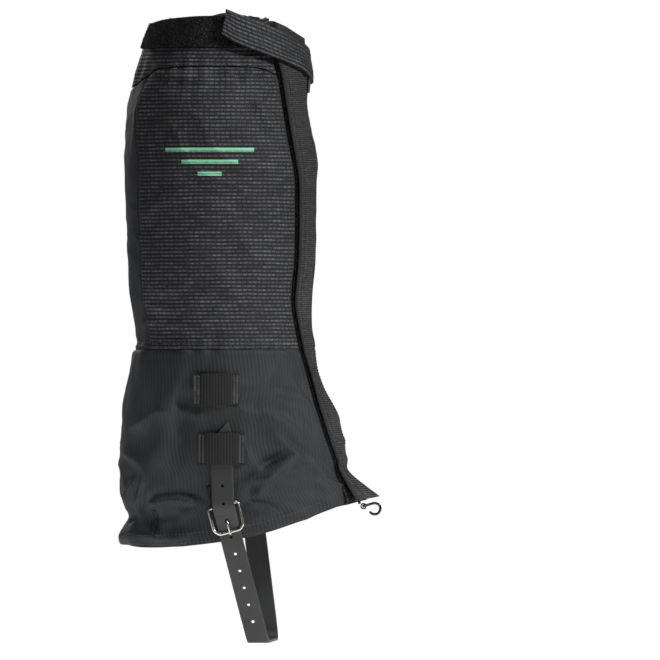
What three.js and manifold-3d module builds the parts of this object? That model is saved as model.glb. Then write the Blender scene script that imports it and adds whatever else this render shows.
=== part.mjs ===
// A lower-leg gaiter for the right foot, in millimetres: +X to the toe, +Y to the wearer's other leg, +Z up.
// The origin is on the upper face of the strap that runs under the boot's arch.
// Cloth is drawn as closed layers that lie a set depth off one skin surface, with a small gap between them.
import * as THREE from "three";
import { mergeVertices } from "three/addons/utils/BufferGeometryUtils.js";
import Module from "manifold-3d";

const wasm = await Module();
wasm.setup();

const RAD = Math.PI / 180;
const GAP = 0.4; // clear space between two pieces that touch on the real object
const CLOTH = 1.2; // one coated cloth panel with its lining
const TAPE = 0.8; // thin tapes and facings
const WAIST = 218; // height of the seam between the upper and the lower panels
const STRAP_WIDTH = 16.5;
const STRAP_THICK = 2.5;
const HOLE_PITCH = 13.3;
const WIRE = 1.15; // radius of the buckle's wire
const WEBBING = 24; // width of the keepers' webbing
const FOLD_X = 10; // side place of the fold on the inner side that the front flap turns about
const FOLD_COVER = 4 * RAD; // how far the inner panels reach forward under the flap's root
const REAR_SEAM = -148 * RAD; // seam between the ripstop panel and the plain rear strip
const HEEL_SEAM = -179 * RAD; // rear seam of the lower panels
const EGG = 0.12; // how much narrower the section is at the shin than at the calf

// A smooth curve through pairs [place, value] in rising order, held flat beyond both ends.
function through(pairs) {
  const last = pairs.length - 1;
  const slope = pairs.map((_, i) => {
    const a = pairs[Math.max(i - 1, 0)];
    const b = pairs[Math.min(i + 1, last)];
    return (b[1] - a[1]) / (b[0] - a[0]);
  });
  return (place) => {
    const s = Math.min(Math.max(place, pairs[0][0]), pairs[last][0]);
    const i = Math.min(Math.max(pairs.findIndex((p) => p[0] > s) - 1, 0), last - 1);
    const k = s >= pairs[last][0] ? last - 1 : i;
    const step = pairs[k + 1][0] - pairs[k][0];
    const t = (s - pairs[k][0]) / step;
    const rise = pairs[k + 1][1] - pairs[k][1];
    const bend = (slope[k] * step - rise) * (1 - t) - (slope[k + 1] * step - rise) * t;
    return pairs[k][1] + rise * t + bend * t * (1 - t);
  };
}

// Side outline of the skin: where its rear and front lie at each height, and half its width.
const rearAt = through([
  [64, -102.5], [78, -106], [94, -102], [110, -105.5], [130, -107], [173, -104.5], [202, -99.5],
  [216, -97.5], [223, -94], [262, -100], [315, -102.5], [361, -104], [403, -101], [437, -92],
  [452, -88], [468, -81],
]);
const frontAt = through([
  [64, 68], [104, 64], [127, 60], [151, 57], [173, 50], [187, 43], [202, 37.5], [217, 36],
  [236, 33.5], [262, 34], [285, 36], [343, 37], [361, 37.5], [386, 32.5], [403, 30], [425, 31],
  [437, 29], [468, 27],
]);
const halfWidthAt = through([
  [64, 52], [94, 53], [127, 56], [173, 58.5], [215, 60], [224, 58], [285, 64], [343, 67], [403, 66],
  [437, 59], [468, 54],
]);
// Side place of the line where the outer panel ends and the flap's free edge lies.
const edgeAt = through([
  [100, 57], [118, 56], [133, 53], [156, 46], [179, 39], [205, 31.5], [220, 27.5], [233, 25],
  [254, 22], [286, 24.5], [331, 25], [348, 24.5], [379, 19], [417, 12.5], [436, 9], [468, 5],
]);
// Heights of the hem, of the collar's seam and of the rim, over the cosine of the angle round the leg.
const hemAt = through([[-1, 71.5], [-0.8, 69], [-0.38, 71], [0.15, 78], [0.6, 90], [0.92, 101], [1, 104]]);
const collarAt = through([[-1, 415], [-0.85, 424], [-0.7, 429], [0.4, 429.5], [0.7, 424], [1, 420]]);
const rimAt = through([[-1, 463], [-0.74, 466], [-0.2, 468], [0.48, 467], [0.72, 464], [1, 454]]);

const mix = (a, b, t) => a + (b - a) * t;
const clamp = (t) => Math.min(Math.max(t, 0), 1);
const midAt = (z) => (rearAt(z) + frontAt(z)) / 2;
const reachAt = (z) => (frontAt(z) - rearAt(z)) / 2;

// Height at an angle round the leg: level 0 is the hem, 1 the waist seam, 2 the collar's seam, 3 the rim.
function heightAt(angle, level) {
  const c = Math.cos(angle);
  if (level <= 1) return mix(hemAt(c), WAIST, level);
  if (level <= 2) return mix(WAIST, collarAt(c), level - 1);
  return mix(collarAt(c), rimAt(c), level - 2);
}

// The skin: an egg-shaped section at each height. Angle 0 is the front, +90 degrees the inner side.
function skinPoint(angle, z) {
  const x = midAt(z) + reachAt(z) * Math.cos(angle);
  const y = halfWidthAt(z) * Math.sin(angle) * (1 - EGG * Math.cos(angle));
  return new THREE.Vector3(x, y, z);
}

// The skin's direction outwards at a point, from its slopes round the leg and up it.
function skinNormal(angle, z) {
  const round = skinPoint(angle + 0.01, z).sub(skinPoint(angle - 0.01, z));
  const up = skinPoint(angle, z + 0.5).sub(skinPoint(angle, z - 0.5));
  return round.cross(up).normalize();
}

function skin(angle, z, depth) {
  return skinPoint(angle, z).addScaledVector(skinNormal(angle, z), depth);
}

// The angle of a side place at a height: negative on the outer side of the leg.
function angleOf(x, z, side) {
  return side * Math.acos(Math.min(Math.max((x - midAt(z)) / reachAt(z), -1), 1));
}
const outerFace = (x, z, depth) => skin(angleOf(x, z, -1), z, depth);
const innerFace = (x, z, depth) => skin(angleOf(x, z, 1), z, depth);

function frontEdge(level) {
  const z = heightAt(-35 * RAD, level);
  return angleOf(edgeAt(z), z, -1);
}

function foldAngle(level) {
  const z = heightAt(55 * RAD, level);
  return angleOf(FOLD_X, z, 1);
}
const innerEdge = (level) => foldAngle(level) - FOLD_COVER;

// How far the flap's lower lip reaches forward over the laces at an angle and a height.
const LIP = 20;
function lipReach(angle, z) {
  const down = clamp((128 - z) / 22) ** 1.4;
  const round = Math.cos(Math.min(Math.abs(angle) * 1.9, Math.PI / 2)) ** 2;
  return LIP * down * round;
}

// Evenly spaced stops from a to b.
const stops = (a, b, count) => Array.from({ length: count + 1 }, (_, i) => mix(a, b, i / count));

function geometryOf(points, triangles) {
  const g = new THREE.BufferGeometry();
  g.setAttribute("position", new THREE.Float32BufferAttribute(points.flatMap((p) => p.toArray()), 3));
  g.setIndex(triangles);
  return g;
}

// Six times the volume that a set of triangles encloses: negative if they face inwards.
function signedVolume(points, triangles) {
  let sum = 0;
  for (let i = 0; i < triangles.length; i += 3) {
    const [a, b, c] = [points[triangles[i]], points[triangles[i + 1]], points[triangles[i + 2]]];
    sum += a.dot(b.clone().cross(c));
  }
  return sum;
}

// A closed layer: point(u, v, side) is on its inner face for side 0 and on its outer face for side 1.
function layer(us, vs, point) {
  const across = vs.length;
  const count = us.length * across;
  const points = [0, 1].flatMap((side) => us.flatMap((u) => vs.map((v) => point(u, v, side))));
  const triangles = [];
  const quad = (a, b, c, d) => triangles.push(a, b, c, a, c, d);
  const id = (i, j, side) => side * count + i * across + j;
  const last = us.length - 1;
  for (let i = 0; i < last; i++) {
    for (let j = 0; j < across - 1; j++) {
      quad(id(i, j, 1), id(i + 1, j, 1), id(i + 1, j + 1, 1), id(i, j + 1, 1));
      quad(id(i, j, 0), id(i, j + 1, 0), id(i + 1, j + 1, 0), id(i + 1, j, 0));
    }
    quad(id(i, 0, 0), id(i + 1, 0, 0), id(i + 1, 0, 1), id(i, 0, 1));
    quad(id(i, across - 1, 1), id(i + 1, across - 1, 1), id(i + 1, across - 1, 0), id(i, across - 1, 0));
  }
  for (let j = 0; j < across - 1; j++) {
    quad(id(0, j, 0), id(0, j, 1), id(0, j + 1, 1), id(0, j + 1, 0));
    quad(id(last, j, 0), id(last, j + 1, 0), id(last, j + 1, 1), id(last, j, 1));
  }
  if (signedVolume(points, triangles) < 0) triangles.reverse();
  return geometryOf(points, triangles);
}

// Joins and cuts closed geometries.
function solid(geometry) {
  const g = geometry.index ? geometry.toNonIndexed() : geometry.clone();
  const bare = new THREE.BufferGeometry().setAttribute("position", g.getAttribute("position"));
  const merged = mergeVertices(bare, 1e-4);
  return new wasm.Manifold(new wasm.Mesh({
    numProp: 3,
    vertProperties: merged.attributes.position.array,
    triVerts: new Uint32Array(merged.index.array),
  }));
}

function drawn(manifold) {
  const mesh = manifold.getMesh();
  const g = new THREE.BufferGeometry();
  g.setAttribute("position", new THREE.Float32BufferAttribute(mesh.vertProperties, 3));
  g.setIndex(Array.from(mesh.triVerts));
  return g;
}

// A round bar from a to b.
function bar(a, b, radius, sides = 12) {
  const along = b.clone().sub(a);
  const g = new THREE.CylinderGeometry(radius, radius, along.length(), sides);
  g.applyQuaternion(new THREE.Quaternion().setFromUnitVectors(new THREE.Vector3(0, 1, 0), along.normalize()));
  const mid = a.clone().add(b).multiplyScalar(0.5);
  return g.translate(mid.x, mid.y, mid.z);
}

// A wire along a list of points, with flat ends.
function wire(points, radius, steps) {
  const circle = new THREE.Shape().absarc(0, 0, radius, 0, 2 * Math.PI, false);
  const extrudePath = new THREE.CatmullRomCurve3(points, false, "catmullrom", 0.5);
  return new THREE.ExtrudeGeometry(circle, { steps, curveSegments: 5, extrudePath });
}

const MATERIALS = {
  ripstop: ["#2b2c2f", 0.75, 0],
  plain: ["#2e3032", 0.8, 0],
  tape: ["#17181a", 0.95, 0],
  webbing: ["#1c1d1f", 0.85, 0],
  elastic: ["#202124", 0.9, 0],
  olive: ["#696a5a", 0.85, 0],
  strap: ["#3b3c3a", 0.55, 0],
  steel: ["#b9bbb8", 0.25, 1],
};

const gaiter = new THREE.Group();
gaiter.name = "gaiter";

function add(name, finish, geometry) {
  const [color, roughness, metalness] = MATERIALS[finish];
  const material = new THREE.MeshStandardMaterial({ color, roughness, metalness });
  const mesh = new THREE.Mesh(geometry, material);
  mesh.name = name;
  gaiter.add(mesh);
}

// A layer of the skin between two depths. angleAt(u, level) says where round the leg a point lies.
function onSkin(angleAt, us, levels, inner, outer, lip = 0) {
  return layer(us, levels, (u, level, side) => {
    const angle = angleAt(u, level);
    const z = heightAt(angle, level);
    const p = skin(angle, z, side ? outer : inner);
    p.x += lip * lipReach(angle, z);
    return p;
  });
}

const EDGE_GAP = 0.006; // GAP as an angle at the leg's usual radius
const LEVEL_GAP = 0.0015; // half of GAP as a share of a panel's height
const LOWER_ROWS = [0, 0.05, 0.095, 0.14, 0.185, 0.27, 0.38, 0.5, 0.64, 0.78, 0.88, 0.94, 1 - LEVEL_GAP];
const UPPER_ROWS = [1 + LEVEL_GAP, ...stops(1.06, 2 - LEVEL_GAP, 9)];
const COLLAR_ROWS = [2 + LEVEL_GAP * 6, 2.36, 2.68, 3];
const FRONT_ROWS = [...LOWER_ROWS.slice(0, -1), 1, ...stops(1.06, 2, 9), 2.36, 2.68, 2.95];

// The four panels of the leg, each a patch between a rear seam and a front edge.
const upperOuter = (u, level) => mix(REAR_SEAM + EDGE_GAP, frontEdge(level) - 0.02, u);
const lowerOuter = (u, level) => mix(HEEL_SEAM, frontEdge(level) - 0.02, u);
const upperInner = (u, level) => mix(innerEdge(level), REAR_SEAM + 2 * Math.PI, u);
const lowerInner = (u, level) => mix(innerEdge(level), HEEL_SEAM + 2 * Math.PI - EDGE_GAP * 3, u);
const aroundCollar = (u, level) => mix(frontEdge(level) - 0.02, innerEdge(level) - 2 * Math.PI, u);
const acrossFront = (u, level) => mix(frontEdge(level), foldAngle(level), u);

const RIVET_PLACES = [[-8.9, 96], [-10.7, 110]];
const RIVET_SHAFT = 1.8;

function rivetAxis([x, z]) {
  const angle = angleOf(x, z, 1);
  return { seat: skinPoint(angle, z), out: skinNormal(angle, z) };
}

function withRivetHoles(geometry) {
  return drawn(RIVET_PLACES.reduce((rest, place) => {
    const { seat, out } = rivetAxis(place);
    const a = seat.clone().addScaledVector(out, -8);
    const b = seat.clone().addScaledVector(out, 8);
    return rest.subtract(solid(bar(a, b, RIVET_SHAFT + GAP)));
  }, solid(geometry)));
}

add("upper_outer_panel", "ripstop", onSkin(upperOuter, stops(0, 1, 12), UPPER_ROWS, -CLOTH, 0));
add("upper_inner_panel", "plain", onSkin(upperInner, stops(0, 1, 17), UPPER_ROWS, -CLOTH, 0));
add("lower_outer_panel", "plain", onSkin(lowerOuter, stops(0, 1, 16), LOWER_ROWS, -CLOTH, 0));
add("lower_inner_panel", "plain", withRivetHoles(onSkin(lowerInner, stops(0, 1, 14), LOWER_ROWS, -CLOTH, 0)));

// Facings, tapes and elastic sewn inside the panels.
const INSIDE = -CLOTH - GAP;
function insideStrip(angleAt, us, levels, thick) {
  return onSkin(angleAt, us, levels, INSIDE - thick, INSIDE);
}
const HEM_ROWS = [0, 0.05, 0.085];
const ANKLE_ROWS = [0.1, 0.14, 0.185];
const WAIST_ROWS = [0.94, 1 - LEVEL_GAP];
add("hem_facing_outer", "plain", insideStrip(lowerOuter, stops(0, 1, 16), HEM_ROWS, TAPE));
add("hem_facing_inner", "plain", insideStrip(lowerInner, stops(0, 1, 14), HEM_ROWS, TAPE));
add("waist_tape_outer", "tape", insideStrip(lowerOuter, stops(0, 1, 16), WAIST_ROWS, TAPE));
add("waist_tape_inner", "tape", insideStrip(lowerInner, stops(0, 1, 14), WAIST_ROWS, TAPE));
const ankleArc = (u) => mix(-129 * RAD, -231 * RAD, u);
add("ankle_elastic", "elastic", insideStrip(ankleArc, stops(0, 1, 12), ANKLE_ROWS, 1.4));
const heelArc = (u) => mix(-174 * RAD, -186 * RAD, u);
add("heel_seam_tape", "tape", insideStrip(heelArc, [0, 0.5, 1], LOWER_ROWS.slice(5, 11), TAPE));
const rearArc = (u) => REAR_SEAM + mix(-5, 5, u) * RAD;
add("rear_seam_tape", "tape", insideStrip(rearArc, [0, 0.5, 1], UPPER_ROWS.slice(1, -1), TAPE));

// The two tacks that hold the ends of the ankle elastic, on the outside of the cloth.
function ankleTack(side) {
  const arc = (u) => side * mix(131, 137, u) * RAD;
  return onSkin(arc, [0, 1], [0.05, 0.095, 0.14, 0.185], GAP, GAP + 0.7);
}
add("ankle_tack_outer", "tape", ankleTack(-1));
add("ankle_tack_inner", "tape", ankleTack(1));

// The collar: an outer and an inner casing with the elastic between them, and the loop band outside.
const COLLAR_STOPS = stops(0, 1, 28);
const casing = 0.8;
const elastic = 1.2;
add("collar_outer_casing", "ripstop", onSkin(aroundCollar, COLLAR_STOPS, COLLAR_ROWS, -casing, 0));
add("collar_elastic", "elastic", onSkin(aroundCollar, COLLAR_STOPS.slice(1, -1), [2.36, 2.68, 2.9],
  -casing - GAP - elastic, -casing - GAP));
add("collar_inner_casing", "plain", onSkin(aroundCollar, COLLAR_STOPS, COLLAR_ROWS,
  -2 * casing - 2 * GAP - elastic, -casing - 2 * GAP - elastic));
add("collar_loop_band", "tape", onSkin(aroundCollar, COLLAR_STOPS.slice(1, 23), [2.36, 2.68, 3], GAP, GAP + 1.2));

// The front: the underlap with its loop tape, and the flap that closes over it with its hook tape.
const UNDERLAP_LIP = 0.6; // share of the flap's lip that the underlap has
const FLAP_IN = 3;
const FLAP_OUT = 4;
const FLAP_ROWS = [0.02, ...FRONT_ROWS.slice(1)];
add("front_underlap", "plain", onSkin(acrossFront, stops(0, 0.9, 9), FRONT_ROWS, -CLOTH, 0, UNDERLAP_LIP));
add("front_loop_tape", "tape", onSkin(acrossFront, stops(0, 0.3, 3), FRONT_ROWS.slice(0, -1), GAP, GAP + 0.9,
  UNDERLAP_LIP));

// The flap lies over the tapes and comes down onto the inner panel at its root.
function flapLayer(us, levels, inner, outer) {
  return layer(us, levels, (u, level, side) => {
    const angle = acrossFront(u, level);
    const z = heightAt(angle, level);
    const sunk = (FLAP_IN - GAP) * clamp((u - 0.85) / 0.15) ** 2;
    const p = skin(angle, z, (side ? outer : inner) - sunk);
    p.x += lipReach(angle, z);
    return p;
  });
}
add("front_flap_panel", "plain", flapLayer([0.04, ...stops(0.1, 1, 9)], FLAP_ROWS, FLAP_IN, FLAP_OUT));
add("flap_edge_binding", "webbing", flapLayer([0.005, 0.035], FLAP_ROWS, FLAP_IN - 0.4, FLAP_OUT + 0.3));
add("flap_hook_tape", "tape", flapLayer([0.05, 0.1, 0.2, 0.29], FLAP_ROWS.slice(0, -2), FLAP_IN - GAP - 0.9,
  FLAP_IN - GAP));

// The top strap: it starts on the flap's front and lies over it and over the loop band.
const STRAP_START = 10;
const STRAP_END = -91;
const topStrapAt = through([[-91, 463.5], [-80, 459], [-55, 450], [-37, 444.5], [-20, 438.5], [0, 432], [10, 430.5]]);
const TOP_STRAP_IN = 6.3;
const TOP_STRAP_WIDTH = 23;
function topStrapLayer(from, to, count, width, inner, outer) {
  return layer(stops(from, to, count), [-0.5, 0, 0.5], (degrees, v, side) =>
    skin(degrees * RAD, topStrapAt(degrees) + v * width, side ? outer : inner));
}
add("top_strap_panel", "ripstop", topStrapLayer(STRAP_START, STRAP_END, 14, TOP_STRAP_WIDTH,
  TOP_STRAP_IN, TOP_STRAP_IN + CLOTH));
add("top_strap_hook_patch", "tape", topStrapLayer(-57, STRAP_END + 2, 5, TOP_STRAP_WIDTH - 4, 2, TOP_STRAP_IN - GAP));
add("strap_root_loop", "olive", layer(stops(-24, 14, 5), [412, 424, 436], (degrees, z, side) =>
  skin(degrees * RAD, z, FLAP_OUT + (side ? 1.5 : 0.8))));

// Keepers: webbing tacked down at both ends, standing clear of the cloth between them.
function keeper(x, z, width, rise) {
  const lift = through([[-width / 2, GAP], [-width / 2 + 4, GAP], [-width / 2 + 6.5, rise],
    [width / 2 - 6.5, rise], [width / 2 - 4, GAP], [width / 2, GAP]]);
  const along = [-0.5, -0.38, -0.31, 0, 0.31, 0.38, 0.5].map((s) => s * width);
  return layer(along, [-WEBBING / 2, 0, WEBBING / 2], (s, t, side) =>
    outerFace(x + s, z + t, lift(s) + (side ? 1.1 : 0)));
}
add("keeper_upper", "webbing", keeper(-34.5, 188, 34, 2.4));
add("keeper_lower", "webbing", keeper(-30.5, 143.5, 35, 3.9));

// The under-foot strap's route: up the inner side, under the arch, up the outer side to its tip.
const bend = (point, reach) => ({ point, reach });
const outerRoute = (x, z, lift) => outerFace(x, z, lift + STRAP_THICK / 2);
const innerRoute = (x, z, lift) => innerFace(x, z, lift + STRAP_THICK / 2);
const SOLE = -STRAP_THICK / 2;
const ANCHOR_LIFT = 2.6;
const ROUTE = [
  bend(innerRoute(-12, 120, ANCHOR_LIFT), 0),
  bend(innerRoute(-6.8, 80, ANCHOR_LIFT), 6),
  bend(new THREE.Vector3(4, 43, SOLE), 8),
  bend(new THREE.Vector3(-3, -43, SOLE), 8),
  bend(outerRoute(-22.4, 74, 0.95), 4),
  bend(outerRoute(-24.2, 81.5, 0.95), 3),
  bend(outerRoute(-28.9, 101.3, 6.2), 4),
  bend(outerRoute(-29.7, 118, 2.8), 5),
  bend(outerRoute(-29.7, 129, 0.8), 4),
  bend(outerRoute(-29.7, 164, 0.8), 0),
];
const CORNER_STEPS = 4;

// Points and directions along the route, each corner rounded by a parabola.
function routeStations(route) {
  const stations = [];
  const put = (point, tangent) => stations.push({ point, tangent });
  route.forEach(({ point, reach }, i) => {
    const before = i > 0 ? point.clone().sub(route[i - 1].point).normalize() : null;
    const after = i < route.length - 1 ? route[i + 1].point.clone().sub(point).normalize() : null;
    if (!before || !after) {
      put(point, before || after);
      return;
    }
    const from = point.clone().addScaledVector(before, -reach);
    const to = point.clone().addScaledVector(after, reach);
    const corner = new THREE.QuadraticBezierCurve3(from, point, to);
    stops(0, 1, CORNER_STEPS).forEach((t) => put(corner.getPoint(t), corner.getTangent(t)));
  });
  return stations;
}

// The strap's width runs to the heel, and its outer face looks away from the boot.
function strapFrame(tangent) {
  const across = new THREE.Vector3(-1, 0, 0);
  across.addScaledVector(tangent, -across.dot(tangent)).normalize();
  return { across, out: across.clone().cross(tangent) };
}

const stations = routeStations(ROUTE);
const lengths = stations.reduce((all, s, i) => {
  const step = i ? s.point.distanceTo(stations[i - 1].point) : 0;
  return [...all, (all.at(-1) ?? 0) + step];
}, []);
const STRAP_LENGTH = lengths.at(-1);

function stationAt(distance) {
  const i = Math.max(lengths.findIndex((l) => l >= distance - 1e-6), 1);
  const t = (distance - lengths[i - 1]) / (lengths[i] - lengths[i - 1]);
  const point = stations[i - 1].point.clone().lerp(stations[i].point, t);
  const tangent = stations[i - 1].tangent.clone().lerp(stations[i].tangent, t).normalize();
  return { point, ...strapFrame(tangent) };
}

// The tail is cut to a point that leans to the toe.
const POINT_LENGTH = 14;
function tailWidths(distance) {
  const t = clamp((distance - (STRAP_LENGTH - POINT_LENGTH)) / POINT_LENGTH);
  const apex = -4;
  return [mix(-STRAP_WIDTH / 2, apex - 0.6, t), mix(STRAP_WIDTH / 2, apex + 0.6, t)];
}

const inStrap = (distance, across, depth) => {
  const s = stationAt(distance);
  return s.point.addScaledVector(s.across, across).addScaledVector(s.out, depth);
};

function strapBody() {
  const all = [...lengths, STRAP_LENGTH - POINT_LENGTH].sort((a, b) => a - b);
  return layer(all, [0, 1], (distance, v, side) =>
    inStrap(distance, tailWidths(distance)[v], side ? STRAP_THICK / 2 : -STRAP_THICK / 2));
}

const PRONG_PLACE = STRAP_LENGTH - 75;
function holeBar(distance, radius) {
  return bar(inStrap(distance, 0, -5), inStrap(distance, 0, 5), radius, 10);
}
function strapWithHoles() {
  let strap = solid(strapBody()).subtract(solid(holeBar(PRONG_PLACE, 1.9)));
  for (const k of [-6, -5, -4, -3, -2, -1, 1, 2]) {
    strap = strap.subtract(solid(holeBar(PRONG_PLACE + k * HOLE_PITCH, 1.2)));
  }
  return drawn(strap);
}
add("under_foot_strap", "strap", withRivetHoles(strapWithHoles()));

// The strap's fixed end on the inner side: a patch and two rivets.
const patchRows = stops(88, 118, 2);
add("strap_anchor_patch", "webbing", withRivetHoles(layer(stops(-21, 1, 2), patchRows, (x, z, side) =>
  innerFace(x, z, GAP + (side ? TAPE : 0)))));
function rivet(place) {
  const { seat, out } = rivetAxis(place);
  const inside = -CLOTH - GAP;
  const outside = ANCHOR_LIFT + STRAP_THICK + 1;
  const profile = [
    [0, inside - 1], [4, inside - 1], [4, inside], [RIVET_SHAFT, inside], [RIVET_SHAFT, outside],
    [4.2, outside], [3.6, outside + 0.9], [2, outside + 1.4], [0, outside + 1.5],
  ].map(([r, h]) => new THREE.Vector2(r, h));
  const g = new THREE.LatheGeometry(profile, 14);
  g.applyQuaternion(new THREE.Quaternion().setFromUnitVectors(new THREE.Vector3(0, 1, 0), out));
  return g.translate(seat.x, seat.y, seat.z);
}
add("anchor_rivet_lower", "steel", rivet(RIVET_PLACES[0]));
add("anchor_rivet_upper", "steel", rivet(RIVET_PLACES[1]));

// The buckle's own axes: across to the toe, down along the strap, and out from the leg.
const TILT = 15.4 * RAD;
const ACROSS = new THREE.Vector3(Math.cos(TILT), 0, Math.sin(TILT));
const DOWN = new THREE.Vector3(Math.sin(TILT), 0, -Math.cos(TILT));
const OUT = new THREE.Vector3(0, -1, 0);
const HEEL_BAR = outerFace(-29.3, 101.1, 2.9);
const inBuckle = (across, down, out) => HEEL_BAR.clone()
  .addScaledVector(ACROSS, across).addScaledVector(DOWN, down).addScaledVector(OUT, out);
const FRAME_HALF = 11.35;
const FRAME_DROP = 20.5;
const FRAME_LEAN = 1.6; // how much further out the lower bar lies than the heel bar

// The frame is one wire bent to a loop, with its lower corners cut off.
function buckleFrame() {
  const corner = 3.6;
  const at = (across, down) => inBuckle(across, down, FRAME_LEAN * down / FRAME_DROP);
  const outline = [
    at(-FRAME_HALF, 0), at(FRAME_HALF, 0), at(FRAME_HALF, FRAME_DROP - corner),
    at(FRAME_HALF - corner, FRAME_DROP), at(corner - FRAME_HALF, FRAME_DROP),
    at(-FRAME_HALF, FRAME_DROP - corner),
  ];
  const rods = outline.map((p, i) => solid(bar(p, outline[(i + 1) % outline.length], WIRE, 8)));
  const knobs = outline.map((p) => solid(new THREE.SphereGeometry(WIRE, 8, 5).translate(p.x, p.y, p.z)));
  return drawn([...rods, ...knobs].reduce((a, b) => a.add(b)));
}
add("buckle_frame", "steel", buckleFrame());

const EYE_IN = WIRE + 0.3;
const EYE_OUT = 2.35;
const PRONG_EYE = 1.5; // half the width of the prong's eye
const onBar = (half, radius, sides) => solid(bar(inBuckle(-half, 0, 0), inBuckle(half, 0, 0), radius, sides));

// The prong turns on the heel bar, comes through a hole in the strap and rests on the lower bar.
function buckleProng() {
  const path = [[1.7, -0.2], [5, -0.7], [8.4, -1], [10.4, -0.3], [11.6, 2.2], [13, 4.3], [16.5, 4.7], [22, 4.35]];
  const body = solid(wire(path.map(([down, out]) => inBuckle(0, down, out)), 0.9, 18));
  const eye = onBar(PRONG_EYE, EYE_OUT, 14).subtract(onBar(PRONG_EYE + 1, EYE_IN, 14));
  return drawn(eye.add(body));
}
add("buckle_prong", "steel", buckleProng());

// The chape: webbing folded round the heel bar and sewn to the cloth above it, slotted for the prong.
function buckleChape() {
  const half = 8.5;
  const tab = layer(stops(-half, half, 2), stops(-17, -0.4, 2), (across, down, side) => {
    const p = inBuckle(across, down, 0);
    return outerFace(p.x, p.z, side ? 2.3 : 0.45);
  });
  const slot = new THREE.BoxGeometry(2 * (PRONG_EYE + 0.6), 8, 12);
  slot.rotateY(-TILT);
  const at = inBuckle(0, 1.5, 0);
  slot.translate(at.x, at.y, at.z);
  return drawn(solid(tab).add(onBar(half, EYE_OUT, 14))
    .subtract(onBar(half + 2, EYE_IN, 14)).subtract(solid(slot)));
}
add("buckle_chape", "webbing", buckleChape());

// The lace hook hangs in a tab under the underlap's lip.
const HOOK_BAR = new THREE.Vector3(76.3, 0, 99.6);
const HOOK_WIRE = 1;
function laceHook() {
  const at = (x, y, z) => new THREE.Vector3(x, y, z);
  const { x, z } = HOOK_BAR;
  const corners = [at(x, -6.4, z), at(x, 6.4, z), at(x + 6, 1.6, z + 1.8), at(x + 6, -1.6, z + 1.8)];
  const eye = corners.map((p, i) => solid(bar(p, corners[(i + 1) % 4], HOOK_WIRE, 8)));
  const knobs = corners.map((p) => solid(new THREE.SphereGeometry(HOOK_WIRE, 6, 4).translate(p.x, p.y, p.z)));
  const hook = solid(wire([at(x + 5.6, 0, z + 1.7), at(x + 9, 0, z + 2.2), at(x + 12, 0, z + 0.6),
    at(x + 12.6, 0, z - 2.6), at(x + 10.6, 0, z - 5.6), at(x + 7.2, 0, z - 6), at(x + 5, 0, z - 4.6)],
  HOOK_WIRE, 14));
  return drawn([...eye, ...knobs].reduce((a, b) => a.add(b), hook));
}
add("lace_hook", "steel", laceHook());

function hookTab() {
  const half = 3.4;
  const rows = [-0.035, 0, 0.05, 0.095];
  const tab = layer([-half, half], rows, (y, level, side) => {
    const angle = y / 45;
    const depth = -CLOTH - 2 * GAP - (side ? 0 : 1.6);
    const z = heightAt(angle, level);
    const p = skin(angle, z, depth);
    p.x += UNDERLAP_LIP * lipReach(angle, z);
    return p;
  });
  const a = HOOK_BAR.clone().setY(-half);
  const b = HOOK_BAR.clone().setY(half);
  const ring = solid(bar(a, b, 2.4, 12)).subtract(solid(bar(a.clone().setY(-9), b.clone().setY(9), 1.4, 12)));
  return drawn(solid(tab).add(ring));
}
add("hook_tab", "webbing", hookTab());

export default gaiter;
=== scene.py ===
"""Looks of a gaiter for the right leg: cloth layers, webbing, a coated strap and small steel parts.

Lengths are worked out in millimetres, with +X to the toe, +Y to the wearer's other leg and +Z up, and become
metres when a mesh is made. Cloth lies a set depth off one skin surface. Its folds are a relief on that skin,
which the cloth layers share, so that they keep their order where they are creased.
"""

import logging
from dataclasses import dataclass
from enum import Enum
from typing import Any, Callable, Sequence

import bpy
import numpy as np
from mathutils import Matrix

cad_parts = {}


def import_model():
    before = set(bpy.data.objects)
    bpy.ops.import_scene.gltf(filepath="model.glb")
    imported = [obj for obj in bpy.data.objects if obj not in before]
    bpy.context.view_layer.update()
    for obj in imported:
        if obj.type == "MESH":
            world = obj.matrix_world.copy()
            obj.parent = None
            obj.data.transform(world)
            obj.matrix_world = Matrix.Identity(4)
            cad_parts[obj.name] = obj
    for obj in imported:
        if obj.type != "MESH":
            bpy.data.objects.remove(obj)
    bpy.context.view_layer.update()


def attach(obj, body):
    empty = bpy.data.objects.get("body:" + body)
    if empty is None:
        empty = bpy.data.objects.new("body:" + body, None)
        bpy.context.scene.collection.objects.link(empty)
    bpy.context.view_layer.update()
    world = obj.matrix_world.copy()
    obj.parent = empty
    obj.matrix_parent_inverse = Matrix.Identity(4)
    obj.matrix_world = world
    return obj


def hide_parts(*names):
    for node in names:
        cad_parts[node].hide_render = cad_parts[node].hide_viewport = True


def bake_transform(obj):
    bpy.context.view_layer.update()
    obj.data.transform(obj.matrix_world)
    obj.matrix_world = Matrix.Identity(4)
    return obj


Array = np.ndarray
MM = 0.001
RAD = np.pi / 180
GAP = 0.4
CLOTH = 1.2
TAPE = 0.8
INSIDE = -CLOTH - GAP
WAIST = 218.0
ARC = 62.0  # usual radius of the leg, which turns an angle into a place along the cloth
LOG = logging.getLogger("gaiter")


class Body(Enum):
    """The moving bodies of the gaiter."""

    SHELL = "gaiter_shell"
    FLAP = "front_flap"
    STRAP = "top_strap"
    FRAME = "buckle_frame"
    PRONG = "buckle_prong"
    HOOK = "lace_hook"


class Slot(Enum):
    """The material slots that the finishes belong to."""

    RIPSTOP = "ripstop_cloth"
    PLAIN = "plain_cloth"
    PILE = "loop_pile"
    TAPE = "binding_tape"
    ELASTIC = "elastic_band"
    WEBBING = "black_webbing"
    OLIVE = "olive_webbing"
    COATED = "coated_strap"
    STEEL = "nickel_steel"


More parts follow.
